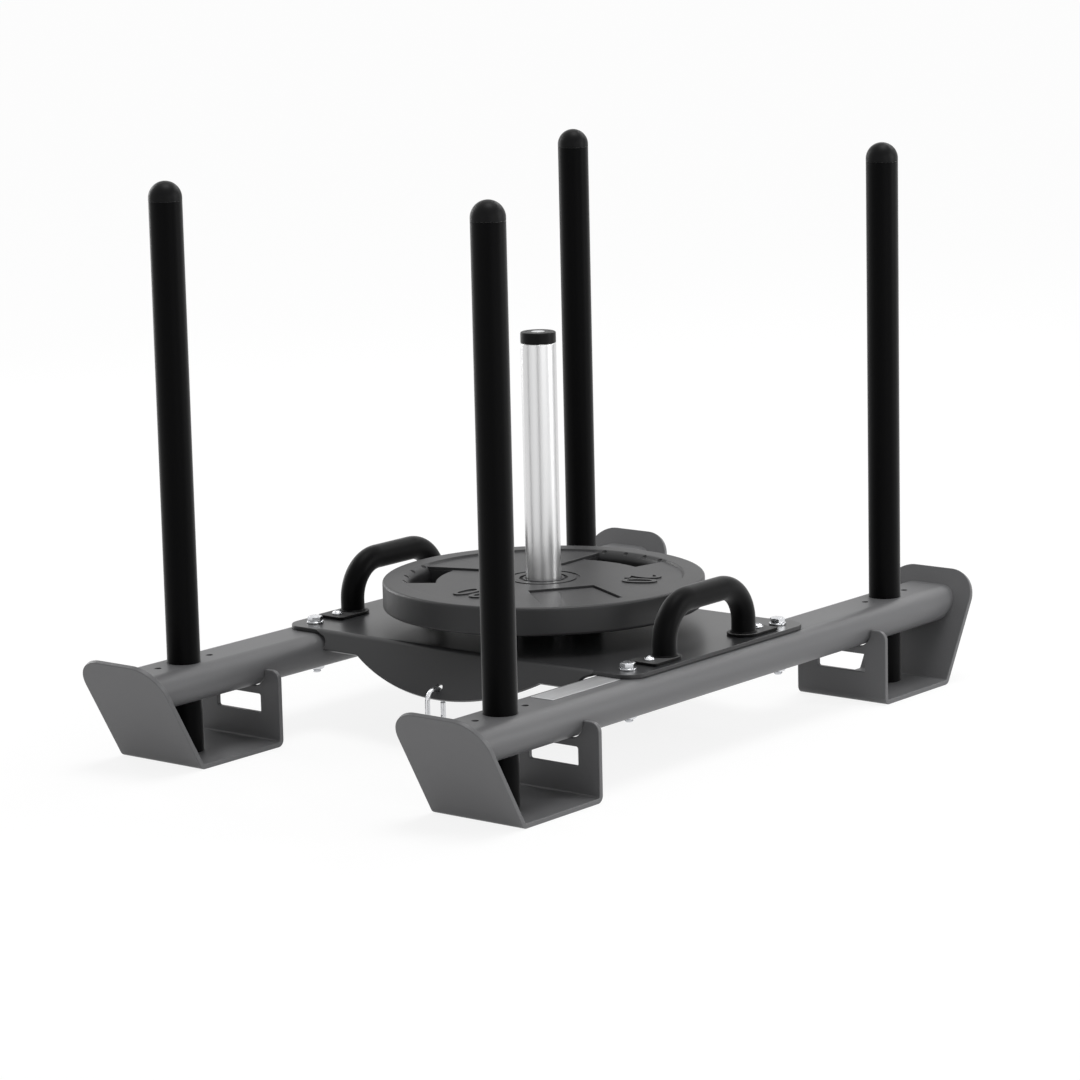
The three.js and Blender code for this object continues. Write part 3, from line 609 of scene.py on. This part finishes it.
def makeRail(s):
    bm = bmesh.new()
    tubes = []
    for shrink in (0, s["wall"]):
        loop = railLoop(s, shrink)
        rings = [[bm.verts.new((x, side * railEnd(z), z)) for x, z in loop] for side in (-1, 1)]
        bridge(bm, rings)
        tubes.append(rings)
    for end in (0, 1):
        bridge(bm, [tubes[0][end], tubes[1][end]])
    faceOutward(bm)
    low, high = s["clearance"] - s["overcut"], s["clearance"] + s["height"] + s["overcut"]
    cutters = []
    for side in (-1, 1):
        postY = side * s["postY"]
        holes = [(postY, s["postHole"], low), (side * s["boltY"], s["boltHole"], low),
                 (side * s["footBoltY"], s["footBoltHole"], railMiddle)]
        holes += [(postY + way * s["sideHoleOffset"], s["sideHole"], railMiddle) for way in (-1, 1)]
        for y, radius, bottom in holes:
            cutter = latheMesh([(0, bottom), (radius, bottom), (radius, high), (0, high)], 48)
            cutters.append(moved(cutter, y=y))
    return combined(bm, gathered(cutters), "DIFFERENCE")


railMesh = makeRail(rail)
for hand, x in hands:
    addPiece(f"railTube_{hand}", railMesh, "grey_coat", f"rail_{hand}", x=x)
print("rails ready")


# Skids: one laser-cut plate each, folded at the heel and the toe
def makeSkid(s):
    half, depth, side = s["width"] / 2, s["thickness"] / 2, s["saddleHalf"]
    outer = s["bendRadius"] + depth
    toeTurn = quarter - s["lean"]
    toeTangent = outer * math.tan(toeTurn / 2)
    base = s["toePlace"] - toeTangent - s["heelPlace"] - outer
    runs = [(railMiddle - outer, 0), (s["bendRadius"] * quarter, quarter), (base, 0),
            (s["bendRadius"] * toeTurn, toeTurn), (s["toeLength"] - toeTangent, 0)]
    total = sum(length for length, bend in runs)
    saddle = railMiddle - rail["clearance"] + rail["gap"]
    outline = rounded([
        (-half, 0, s["earCorner"]), (-half, total, s["toeCorner"]), (half, total, s["toeCorner"]),
        (half, 0, s["earCorner"]), (side, 0, s["mouthCorner"]), (side, saddle, s["saddleCorner"]),
        (-side, saddle, s["saddleCorner"]), (-side, 0, s["mouthCorner"])], 5)
    wide, low = s["windowHalf"], saddle + s["windowRim"]
    high = low + s["windowHeight"]
    corners = ((-wide, low), (wide, low), (wide, high), (-wide, high))
    window = rounded([corner + (s["windowCorner"],) for corner in corners], 15)
    bm = plateMesh(outline, [window], -depth, depth, s["edge"], 4)
    for bend, rows in ((1, 10), (3, 8)):
        start = sum(length for length, turn in runs[:bend])
        cutRows(bm, 1, [start + runs[bend][0] * i / rows for i in range(rows + 1)])
    for vert in bm.verts:
        y, z = foldedPlace(vert.co.y, vert.co.z, (s["heelPlace"] + depth, railMiddle), -quarter, runs)
        vert.co = (vert.co.x, y, z)
    faceOutward(bm)
    return bm


skidMesh = makeSkid(skid)
for spot, x, side in spots:
    addPiece(f"skidPlate_{spot}", skidMesh, "grey_coat", f"skid_{spot}", x=x, turn=endTurn(side))
print("skids ready")


# Push posts with domed caps
post = {"radius": 23, "wall": 2.5, "low": 7.3, "seam": 766.8, "chamfer": 0.3}
postCap = {"top": 793.8, "gap": 0.3, "chamfer": 0.3, "plug": 20, "plugDepth": 24, "plugLead": (0.5, 2),
           "domeFrom": 4}


def makePost(radius, wall, low, seam, chamfer):
    inner = radius - wall
    profile = bevelled((inner, low, 0), (radius, low, chamfer), (radius, seam, chamfer), (inner, seam, 0))
    return latheMesh(profile, 96)


def makePostCap(top, gap, chamfer, plug, plugDepth, plugLead, domeFrom):
    outer, base = post["radius"], post["seam"] + gap
    low, domeBase = base - plugDepth, top - outer
    dome = arc(0, domeBase, outer, math.radians(domeFrom), quarter, 22)
    return latheMesh([(0, low), (plug - plugLead[0], low), (plug, low + plugLead[1]), (plug, base),
                      (outer - chamfer, base), (outer, base + chamfer), (outer, domeBase)]
                     + dome[:-1] + [(0, top)], 96)


postMesh, postCapMesh = makePost(**post), makePostCap(**postCap)
for spot, x, side in spots:
    where = {"body": f"post_{spot}", "x": x, "y": side * rail["postY"]}
    addPiece(f"pushPost_{spot}", postMesh, "black_coat", f"post_{spot}", **where)
    addPiece(f"postDome_{spot}", postCapMesh, "black_plastic", f"post_cap_{spot}", **where)
print("posts ready")


# Centre deck: one plate with a lip bent down at each end
deck = {"half": 313, "front": 206, "thickness": 6, "low": 132.6, "corner": 30, "bendStart": 197.68,
        "bendRadius": 7, "bendInset": 3, "lipAngle": math.radians(56), "lipHalf": 226, "lipFillet": 20,
        "lipBand": 29, "lipReach": 74.5, "lipRun": 100, "bellyHalf": 164, "towHole": 58, "towRadius": 6,
        "blendFrom": 240, "blendTo": 252, "edge": 0.9}
bumper = {"count": 4, "circle": 60, "turn": 29, "radius": 23, "edge": 2.4, "chamfer": 1, "low": 138.9,
          "high": 170.9, "stud": 4, "studLow": 128.6}
bumperPlaces = turnedLoop(circle(0, 0, bumper["circle"], bumper["count"]), bumper["turn"])


def makeDeck(s):
    depth = s["thickness"] / 2
    arcLength = s["bendRadius"] * s["lipAngle"]
    tangent = (s["bendRadius"] + depth) * math.tan(s["lipAngle"] / 2)

    def flatPlace(v):
        # from a distance down the lip to one along the flat pattern
        return s["bendStart"] + arcLength + v - tangent

    reach, band = flatPlace(s["lipReach"]), flatPlace(s["lipBand"])
    sagitta = reach - band
    bellyRadius = (s["bellyHalf"] ** 2 + sagitta ** 2) / (2 * sagitta)
    bellyTurn = math.asin(s["bellyHalf"] / bellyRadius)
    front, half, root = s["front"], s["half"], s["lipHalf"] + s["lipFillet"]
    filletY = flatPlace(s["bendInset"] + s["lipFillet"])
    fillet = [(root - s["lipFillet"] * math.sin(a), filletY - (filletY - front) * math.cos(a))
              for a in spread(0, quarter, 10)]
    corner = arc(half - s["corner"], front - s["corner"], s["corner"], 0, quarter, 12)
    belly = arc(0, reach - bellyRadius, bellyRadius, quarter - bellyTurn, quarter + bellyTurn, 48)
    rightFront = corner + fillet + [(s["lipHalf"], band)]
    rearHalf = rightFront + belly + [(-x, y) for x, y in reversed(rightFront)]
    outline = rearHalf + [(-x, -y) for x, y in rearHalf]

    holes = [circle(0, side * flatPlace(s["towHole"]), s["towRadius"], 40) for side in (-1, 1)]
    for spot, x, side in spots:
        for name, steps in (("bolt", 32), ("footBolt", 24)):
            holes.append(circle(x, side * rail[name + "Y"], rail[name + "Hole"], steps))
    holes += [circle(x, y, bumper["stud"] + rail["gap"], 24) for x, y in bumperPlaces]
    holes.append(circle(0, 0, rail["boltHole"], 32))
    bm = plateMesh(outline, holes, -depth, depth, s["edge"])
    for side in (-1, 1):
        cutRows(bm, 1, [side * (s["bendStart"] + arcLength * i / 8) for i in range(9)])
        cutRows(bm, 0, [side * x for x in spread(s["blendFrom"], s["blendTo"], 4)])
    middle = s["low"] + depth
    runs = [(s["bendStart"], 0), (arcLength, -s["lipAngle"]), (s["lipRun"], 0)]
    for vert in bm.verts:
        x, y, n = vert.co
        side = 1 if y >= 0 else -1
        foldY, foldZ = foldedPlace(abs(y), n, (0, middle), 0, runs)
        share = eased((s["blendTo"] - abs(x)) / (s["blendTo"] - s["blendFrom"]))
        vert.co = (x, side * (abs(y) + share * (foldY - abs(y))), middle + n + share * (foldZ - middle - n))
    faceOutward(bm)
    return bm


addPiece("deckPlate", makeDeck(deck), "deck_coat", "deck_plate", crease=48)
print("deck ready")


def makeBumper(s):
    radius, edge, chamfer, low = s["radius"], s["edge"], s["chamfer"], s["low"]
    top = arc(radius - edge, s["high"] - edge, edge, 0, quarter, 5)
    return latheMesh([(0, s["studLow"]), (s["stud"], s["studLow"]), (s["stud"], low), (radius - chamfer, low),
                      (radius, low + chamfer)] + top + [(0, s["high"])], 64)


bumperMesh = makeBumper(bumper)
for i, (x, y) in enumerate(bumperPlaces):
    addPiece(f"discBuffer_{i + 1}", bumperMesh, "bumper_rubber", f"bumper_{i + 1}", x=x, y=y)


# Carrying handles: one bent tube each, welded to two foot plates
handle = {"y": 91.5, "radius": 17.05, "bend": 54, "top": 212.9, "base": 143.2, "fillet": 2.2}
foot = {"half": 23.5, "reach": 51.5, "low": 138.9, "high": 142.9, "corner": 5, "edge": 0.9}


def makeHandle(y, radius, bend, top, base, fillet):
    rise = [(-y, base, quarter, 0), (-y, base, quarter, radius + fillet)]
    rise += [(-y, base + fillet * math.sin(a), quarter, radius + fillet * (1 - math.cos(quarter - a)))
             for a in spread(0, quarter, 5)[1:]]
    rise += [(bend - y + bend * math.cos(a), top - bend + bend * math.sin(a), a - quarter, radius)
             for a in spread(math.pi, quarter, 20)]
    return sweepMesh(rise + [(-y, z, -heading, r) for y, z, heading, r in reversed(rise)], 48)


def makeFoot(half, reach, low, high, corner, edge):
    end = handle["y"] + reach
    outline = arc(0, handle["y"], half, math.pi, 2 * math.pi, 32)
    outline += arc(half - corner, end - corner, corner, 0, quarter, 6)
    outline += arc(corner - half, end - corner, corner, quarter, math.pi, 6)
    hole = circle(0, rail["footBoltY"], rail["footBoltHole"], 24)
    return plateMesh(outline, [hole], low, high, edge)


handleMesh, footMesh = makeHandle(**handle), makeFoot(**foot)
for hand, x in hands:
    addPiece(f"carryHandle_{hand}", handleMesh, "black_coat", f"handle_{hand}", x=x)
for spot, x, side in spots:
    addPiece(f"footPlate_{spot}", footMesh, "black_coat", f"handle_foot_{spot}", x=x, turn=endTurn(side))
print("handles ready")


# Fixings: button bolts in the handle feet, hexagon bolts with washer, nut and crush tube through the rails
button = {"low": 123.3, "base": 143.2, "top": 148.7, "shank": 4, "tip": 0.8, "flange": 8, "flangeHeight": 1.5,
          "edge": 0.3, "slope": 0.5, "head": 7, "socket": 5, "rim": 0.5, "depths": (0.2, 2.2, 2.6)}
bolt = {"across": 19, "face": 0.93, "collar": 0.95, "rim": 0.2, "slope": 0.45, "shank": 6, "tip": 1.1,
        "tail": 67, "threadHigh": 82, "low": 141.7, "high": 148.7, "pitch": 1.75, "threadDepth": 0.55}
nut = {"bore": 6.3, "lead": (0.6, 0.8), "low": 72, "high": 82}
washer = {"inner": 6.3, "outer": 12, "low": 138.9, "high": 141.4, "edge": 0.35}
crushTube = {"inner": 6.3, "outer": 10, "low": 85.6, "high": 129.0, "edge": 0.3}


def hexRadius(across, angle):
    # distance from the axis to the side of a hexagon
    return across / 2 / math.cos((angle + math.pi / 6) % (math.pi / 3) - math.pi / 6)


def hexEdge(share, level, slope):
    # edge where a cone trims the sides of the hexagon, from a share of its half width
    def edge(angle):
        radius = hexRadius(bolt["across"], angle)
        return radius, level + slope * max(0, radius - share * bolt["across"] / 2)
    return edge


def threaded(low, high):
    # thread ridges as rings, from low to high
    radius, depth = bolt["shank"], bolt["threadDepth"]
    count = max(1, int((high - low) / bolt["pitch"]))
    points = []
    for i in range(count):
        start = low + (high - low) * i / count
        points += [(radius - depth, start), (radius, start + (high - low) / count / 2)]
    return points + [(radius - depth, high)]


def makeButtonBolt(low, base, top, shank, tip, flange, flangeHeight, edge, slope, head, socket, rim, depths):
    shoulder = base + flangeHeight
    mouth = socket / 2 / math.cos(math.pi / 6) + rim
    dome = [(head * math.cos(a), shoulder + (top - shoulder) * math.sin(a)) for a in spread(0, quarter, 9)]
    dome = [point for point in dome if point[0] > mouth]
    crown = dome[-1][1] + 0.1

    def socketAt(depth):
        return lambda angle: (hexRadius(socket, angle), crown - depth)

    profile = [(0, low), (shank - tip, low), (shank, low + tip), (shank, base), (flange - edge, base),
               (flange, base + edge), (flange, shoulder - edge), (flange - slope, shoulder)] + dome
    profile += [(mouth, crown), socketAt(depths[0]), socketAt(depths[1]), (0, crown - depths[2])]
    return latheMesh(profile, 48)


def makeHexBolt(s):
    half, shank, low, high, thread = s["across"] / 2, s["shank"], s["low"], s["high"], s["threadHigh"]
    collar, face = half * s["collar"], half * s["face"]
    profile = [(0, s["tail"]), (shank - s["tip"], s["tail"])] + threaded(s["tail"] + 1, thread)
    profile += [(shank, thread + 1), (shank, low), (collar, low), (collar, low + 0.5),
                hexEdge(1, low + 0.6, 0), hexEdge(s["face"], high - s["rim"], -s["slope"]),
                (face, high), (0, high)]
    return latheMesh(profile)


def makeHexNut(bore, lead, low, high):
    share, rim, slope = bolt["face"], bolt["rim"], bolt["slope"]
    face, mouth = share * bolt["across"] / 2, bore + lead[0]
    return latheMesh([(mouth, low), (face, low), hexEdge(share, low + rim, slope),
                      hexEdge(share, high - rim, -slope), (face, high), (mouth, high),
                      (bore, high - lead[1]), (bore, low + lead[1])])


def makeRing(inner, outer, low, high, edge):
    corners = (inner, low, edge), (outer, low, edge), (outer, high, edge), (inner, high, edge)
    return latheMesh(bevelled(*corners), 64)


fixings = [("hexBolt", makeHexBolt(bolt), "frame_bolt"), ("hexNut", makeHexNut(**nut), "frame_nut"),
           ("flatWasher", makeRing(**washer), "frame_washer"),
           ("spacerTube", makeRing(**crushTube), "crush_tube")]
buttonMesh = makeButtonBolt(**button)
for i, (spot, x, side) in enumerate(spots):
    footY, boltY, turn = side * rail["footBoltY"], side * rail["boltY"], 0.35 + 0.5 * i
    addPiece(f"buttonBolt_{spot}", buttonMesh, "zinc", f"foot_bolt_{spot}", x=x, y=footY, turn=turn)
    for stem, mesh, node in fixings:
        hexTurn = turn if stem.startswith("hex") else 0
        addPiece(f"{stem}_{spot}", mesh, "zinc", f"{node}_{spot}", x=x, y=boltY, turn=hexTurn)
print("fixings ready")


# Weight peg on its bolt
peg = {"inner": 22, "outer": 25, "low": 138.9, "high": 539.9, "edge": 0.6}
pegCap = {"low": 540.2, "high": 555.8, "chamfer": 0.6, "edge": 2.5, "plug": 21.7, "plugLow": 519.9,
          "plugLead": (1, 2), "groove": [(18, 0), (17.4, 0.7), (17, 0.7), (16.5, 0.1)]}
pegInsert = {"radius": 9.5, "depth": 0.8, "gap": 0.1, "edge": 0.2}
pegPlug = {"inner": 6.3, "outer": 21.7, "low": 138.9, "high": 162.9, "edge": 0.6}
pegWasher = {"inner": 6.3, "outer": 12, "low": 129.8, "high": 132.3, "edge": 0.35}
pegBolt = {"low": 122.5, "high": 129.5, "shankHigh": 140, "threadLow": 140.5, "top": 154.9}


def makePegCap(low, high, chamfer, edge, plug, plugLow, plugLead, groove):
    radius, recess, floor = peg["outer"], pegInsert["radius"] + pegInsert["gap"], high - pegInsert["depth"]
    profile = [(0, plugLow), (plug - plugLead[0], plugLow), (plug, plugLow + plugLead[1]), (plug, low),
               (radius - chamfer, low), (radius, low + chamfer)]
    profile += arc(radius - edge, high - edge, edge, 0, quarter, 6) + [(r, high - drop) for r, drop in groove]
    return latheMesh(profile + [(recess, high), (recess, floor), (0, floor)], 96)


def makePegInsert(radius, depth, gap, edge):
    # bright disc let into the middle of the cap
    high = pegCap["high"]
    low = high - depth + gap
    return latheMesh([(0, low), (radius, low), (radius, high - edge), (radius - edge, high), (0, high)], 64)


def makePegBolt(low, high, shankHigh, threadLow, top):
    half, shank, share, rim = bolt["across"] / 2, bolt["shank"], bolt["face"], bolt["rim"]
    collar = half * bolt["collar"]
    profile = [(0, low), (half * share, low), hexEdge(share, low + rim, bolt["slope"]),
               hexEdge(1, high - 0.5, 0), (collar, high - 0.4), (collar, high), (shank, high),
               (shank, shankHigh)]
    return latheMesh(profile + threaded(threadLow, top - 1) + [(shank - bolt["tip"], top), (0, top)])


addPiece("pegTube", makeRing(**peg), "peg_steel", "peg_tube")
addPiece("pegTopCap", makePegCap(**pegCap), "black_plastic", "peg_cap")
addPiece("pegCapInsert", makePegInsert(**pegInsert), "chrome")
addPiece("pegThreadPlug", makeRing(**pegPlug), "zinc", "peg_plug")
addPiece("pegUnderWasher", makeRing(**pegWasher), "zinc", "peg_washer")
addPiece("pegHexBolt", makePegBolt(**pegBolt), "zinc", "peg_bolt")
print("peg ready")


# Weight disc: rubber body with a raised rim, a sunk web, three panels and two finger openings
disc = {"low": 168.2, "high": 208.2, "radius": 228, "rimInner": 199, "edge": 4.5, "webInner": 197,
        "webHigh": 205.2, "webLow": 171.2, "webGap": 0.4, "webEdges": (0.2, 0.6), "floorHigh": 202.4,
        "coreOverlap": 18, "coreEdge": 2, "bore": 32.3, "sinkRadius": 34.5, "sinkDepth": 2.6,
        "ringInner": 46.4, "ringOuter": 51.8, "ringDepth": 1.6, "panelInner": 80.5, "panelHalf": 48,
        "panelOuter": 190, "panelCorner": 3, "panelHalfAngle": math.radians(18),
        "panelTurns": (-34, 86, -154), "panelOverrun": 4.4, "gripTurns": (86, -154),
        "gripInner": 153, "gripCorner": 4, "gripHalfAngle": math.radians(20), "gripOverrun": 2.5,
        "grooveOverrun": 8, "grooveLip": 0.3, "grooveWidth": 2.4, "grooveDepth": 1.6,
        "barShoulder": 13, "barFrom": math.radians(21.5), "barFade": math.radians(4.5), "dimpleSize": 4.6,
        "dimpleAngles": (-15.8, -5.3, 5.3, 15.8), "dimpleTilt": math.radians(58), "dimpleRise": 1.6}


def panelLoop(s, outer, shrink=0.0):
    halfAngle = s["panelHalfAngle"] - shrink / outer
    inner, half, corner = s["panelInner"] + shrink, s["panelHalf"] - shrink, s["panelCorner"]
    edge = [(x, y, 0) for x, y in arc(0, 0, outer, -halfAngle, halfAngle, 16)]
    return rounded([(inner, -half, corner)] + edge + [(inner, half, corner)])


def gripLoop(s, outer):
    outside = [(x, y, 0) for x, y in arc(0, 0, outer, -s["panelHalfAngle"], s["panelHalfAngle"], 20)]
    inside = [(x, y, 0) for x, y in arc(0, 0, s["gripInner"], s["gripHalfAngle"], -s["gripHalfAngle"], 20)]
    for end in (0, -1):
        inside[end] = inside[end][:2] + (s["gripCorner"],)
    return rounded(outside + inside)


def angleFrom(angle, degrees):
    return abs((angle - math.radians(degrees) + math.pi) % (2 * math.pi) - math.pi)


def makeRim(s, steps=360):
    # rim ring whose inner shoulder is full and round where it is a grip bar
    shoulder, edge, high, low, inner = s["barShoulder"], s["edge"], s["high"], s["low"], s["panelOuter"]
    web, webHigh, webLow, rim = s["webInner"], s["webHigh"], s["webLow"], s["rimInner"]
    outside = arc(s["radius"] - edge, high - edge, edge, quarter, 0, 6)
    outside += arc(s["radius"] - edge, low + edge, edge, 0, -quarter, 6)
    under = [(rim, low), (web, webLow), (inner + 2, webLow), (inner, webLow + 2)]
    start, floor, count = (inner, webLow + 6), s["floorHigh"] - 2, 12
    bar = [start, (inner, high - shoulder)]
    bar += [(inner + shoulder - shoulder * math.cos(a), high - shoulder + shoulder * math.sin(a))
            for a in spread(0, quarter, count - 1)[1:]]
    step = [(web - 1, webHigh - 1), (web, webHigh + 0.1), (web + 0.8, webHigh + 0.8),
            (rim - 0.5, high - 0.5), (rim, high - 0.1), (rim + 0.6, high)]
    plain = [start] + [(inner + 1.4 * i, floor + 0.3 * i) for i in range(count - len(step))] + step
    bm = bmesh.new()
    rings = []
    for i in range(steps):
        angle = 2 * math.pi * i / steps
        away = min(angleFrom(angle, turn) for turn in s["gripTurns"])
        share = eased((s["barFrom"] - away) / s["barFade"])
        points = [(p[0] + share * (b[0] - p[0]), p[1] + share * (b[1] - p[1])) for p, b in zip(plain, bar)]
        loop = points + outside + under
        rings.append([bm.verts.new((r * math.cos(angle), r * math.sin(angle), z)) for r, z in loop])
    bridge(bm, rings + [rings[0]])
    faceOutward(bm)
    return bm


def makeDimples(s):
    # small balls that leave round hollows along the shoulder of each grip bar
    balls = []
    size, reach = s["dimpleSize"], s["barShoulder"] + s["dimpleRise"]
    radius = s["panelOuter"] + s["barShoulder"] - reach * math.cos(s["dimpleTilt"])
    height = s["high"] - s["barShoulder"] + reach * math.sin(s["dimpleTilt"])
    profile = [(size * math.cos(a), height + size * math.sin(a)) for a in spread(-quarter, quarter, 16)[1:-1]]
    for turn in s["gripTurns"]:
        for spot in s["dimpleAngles"]:
            angle = math.radians(turn + spot)
            ball = latheMesh([(0, height - size)] + profile + [(0, height + size)], 24)
            balls.append(moved(ball, radius * math.cos(angle), radius * math.sin(angle)))
    return gathered(balls)


def makeDisc(s):
    web, floor, outer = s["webHigh"], s["floorHigh"], s["panelOuter"]
    grips = [turnedLoop(gripLoop(s, outer + s["gripOverrun"]), turn) for turn in s["gripTurns"]]
    core = plateMesh(circle(0, 0, outer + s["coreOverlap"], 240), grips, s["webLow"], floor, s["coreEdge"], 4)
    panels, grooves = [], []
    for turn in s["panelTurns"]:
        atGrip = turn in s["gripTurns"]
        panels.append(turnedLoop(panelLoop(s, outer + atGrip * s["panelOverrun"]), turn))
        edges = [turnedLoop(panelLoop(s, outer + atGrip * s["grooveOverrun"], inset), turn)
                 for inset in (-s["grooveLip"], s["grooveWidth"])]
        grooves.append(plateMesh(edges[0], [edges[1]], floor - s["grooveDepth"], floor + 0.5, 0.05, 1))
    webPlate = plateMesh(circle(0, 0, s["webInner"] - s["webGap"], 240), panels, floor - 1, web,
                         s["webEdges"][0], 3, s["webEdges"][1])
    sink, ring, above, below = web - s["sinkDepth"], web - s["ringDepth"], web + 2, s["low"] - 1
    bore = latheMesh([(0, below), (s["bore"], below), (s["bore"], sink), (s["sinkRadius"], sink),
                      (s["sinkRadius"], above), (0, above)], 96)
    groove = latheMesh([(s["ringInner"], ring), (s["ringOuter"], ring), (s["ringOuter"], above),
                        (s["ringInner"], above)], 120)
    body = combined(core, gathered(grooves), "DIFFERENCE")
    for plate in (webPlate, makeRim(s)):
        body = combined(body, plate, "UNION")
    return combined(body, gathered([bore, groove, makeDimples(s)]), "DIFFERENCE")


addPiece("discBody", makeDisc(disc), "disc_rubber", "weight_disc", body="disc", crease=32)
print("disc body ready")


# Steel hub of the disc
hub = {"bore": 25.4, "radius": 32, "low": 171.2, "step": 202.0, "collar": 29.6, "high": 205.4, "edge": 0.8,
       "collarEdge": 0.4, "lead": 1.4}


def makeHub(bore, radius, low, step, collar, high, edge, collarEdge, lead):
    return latheMesh(bevelled((bore, low, edge), (radius, low, edge), (radius, step, 0), (collar, step, 0),
                              (collar, high, collarEdge), (bore, high, lead)), 96)


addPiece("discHub", makeHub(**hub), "hub_steel", "disc_hub", body="disc")


# Raised weight number on the disc's web
number = {"text": "20", "size": 72, "squeeze": 0.8, "rise": 1.6, "sink": 0.1, "bevel": 0.25, "distance": 138,
          "turns": (26, -94)}


def makeNumber(s, degrees):
    curve = bpy.data.curves.new("number", "FONT")
    curve.body = s["text"]
    curve.size = s["size"]
    curve.align_x, curve.align_y = "CENTER", "CENTER"
    curve.extrude = s["rise"] / 2 + s["sink"]
    curve.bevel_depth = s["bevel"]
    curve.bevel_resolution = 2
    curve.resolution_u = 6
    text = newObject("number", curve)
    bm = finishedMesh(text)
    bpy.data.objects.remove(text)
    bmesh.ops.remove_doubles(bm, verts=bm.verts, dist=1e-4)
    bmesh.ops.scale(bm, vec=(s["squeeze"], 1, 1), verts=bm.verts)
    angle = math.radians(degrees)
    return moved(bm, s["distance"] * math.cos(angle), s["distance"] * math.sin(angle),
                 disc["webHigh"] + s["rise"] / 2 - s["sink"], angle - quarter)


for i, degrees in enumerate(number["turns"]):
    addPiece(f"discNumber_{i + 1}", makeNumber(number, degrees), "disc_rubber", body="disc")
print("disc ready")


# Tow carabiner, hung in the front lip
hook = {"loopY": -243.35, "topZ": 73.41, "lowZ": 42.91, "loopRadius": 16.5, "wire": 3.6, "noseDrop": 4.0,
        "noseEdge": 0.9, "footRise": 0.25, "footEdge": 0.3, "lug": 2.6, "lugEdge": 0.3, "pinHole": 1.3,
        "lugOutline": [(-3, -6, 0), (3, -6, 0), (3, 3, 2.9), (-3, 3, 2.9)]}
gate = {"y": -226.85, "pinZ": 47.11, "slot": 3.2, "tipGap": 0.6, "tipEdge": 0.6}
gatePin = {"radius": 1.0, "half": 3.25, "edge": 0.3}
hingeTurn = Matrix(((0, 0, 1, 0), (1, 0, 0, gate["y"]), (0, 1, 0, gate["pinZ"]), (0, 0, 0, 1)))


def atHinge(bm):
    # from the axis of a plate or a lathe to the gate's hinge
    bmesh.ops.transform(bm, matrix=hingeTurn, verts=bm.verts)
    return bm


def makeHookBody(s):
    wire, bend, y = s["wire"], s["loopRadius"], gate["y"]
    nose, end = s["topZ"] - s["noseDrop"], s["lowZ"] + s["footRise"]
    edge, half = s["noseEdge"], s["lug"] / 2
    stations = [(y, nose, quarter, 0), (y, nose, quarter, wire - edge), (y, nose + edge, quarter, wire)]
    for z, first in ((s["topZ"], 0), (s["lowZ"], math.pi)):
        stations += [(s["loopY"] + bend * math.cos(a), z + bend * math.sin(a), a + quarter, wire)
                     for a in spread(first, first + math.pi, 28)]
    stations += [(y, end, quarter, wire - s["footEdge"]), (y, end, quarter, 0)]
    lug = plateMesh(rounded(s["lugOutline"]), [circle(0, 0, s["pinHole"], 24)], -half, half, s["lugEdge"])
    return combined(sweepMesh(stations, 28), atHinge(lug), "UNION")


def makeHookGate(s):
    wire, pin, edge = hook["wire"], s["pinZ"], s["tipEdge"]
    tip = hook["topZ"] - hook["noseDrop"] - s["tipGap"]
    lower = [(wire * math.sin(a), pin - wire * math.cos(a)) for a in spread(0, quarter, 8)[1:]]
    bar = latheMesh([(0, pin - wire)] + lower + [(wire, tip - edge), (wire - edge, tip), (0, tip)], 40)
    slot = bmesh.new()
    bmesh.ops.create_cube(slot, size=1)
    bmesh.ops.scale(slot, vec=(s["slot"], 10, 2 * wire + 2), verts=slot.verts)
    return moved(combined(bar, moved(slot, z=pin - 1), "DIFFERENCE"), y=s["y"])


def makeGatePin(radius, half, edge):
    corners = (0, -half, 0), (radius, -half, edge), (radius, half, edge), (0, half, 0)
    return atHinge(latheMesh(bevelled(*corners), 24))


addPiece("towHook", makeHookBody(hook), "chrome", "carabiner_body", body="carabiner")
addPiece("towHookGate", makeHookGate(gate), "chrome", "carabiner_gate", body="gate")
addPiece("towHookPin", makeGatePin(**gatePin), "chrome", "gate_pin", body="carabiner")
print("carabiner ready")


# Bare metal strip let onto the right rail
strip = {"low": 132.6, "high": 133.4, "left": 256.9, "right": 293.9, "front": -352.6, "rear": -206.6,
         "corner": 2, "edge": 0.2}


def makeStrip(low, high, left, right, front, rear, corner, edge):
    corners = (left, front, corner), (right, front, corner), (right, rear, corner), (left, rear, corner)
    return plateMesh(rounded(corners, 15), [], low, high, edge, 2)


addPiece("bareStrip", makeStrip(**strip), "label_silver", "label_plate")

print("all pieces ready")
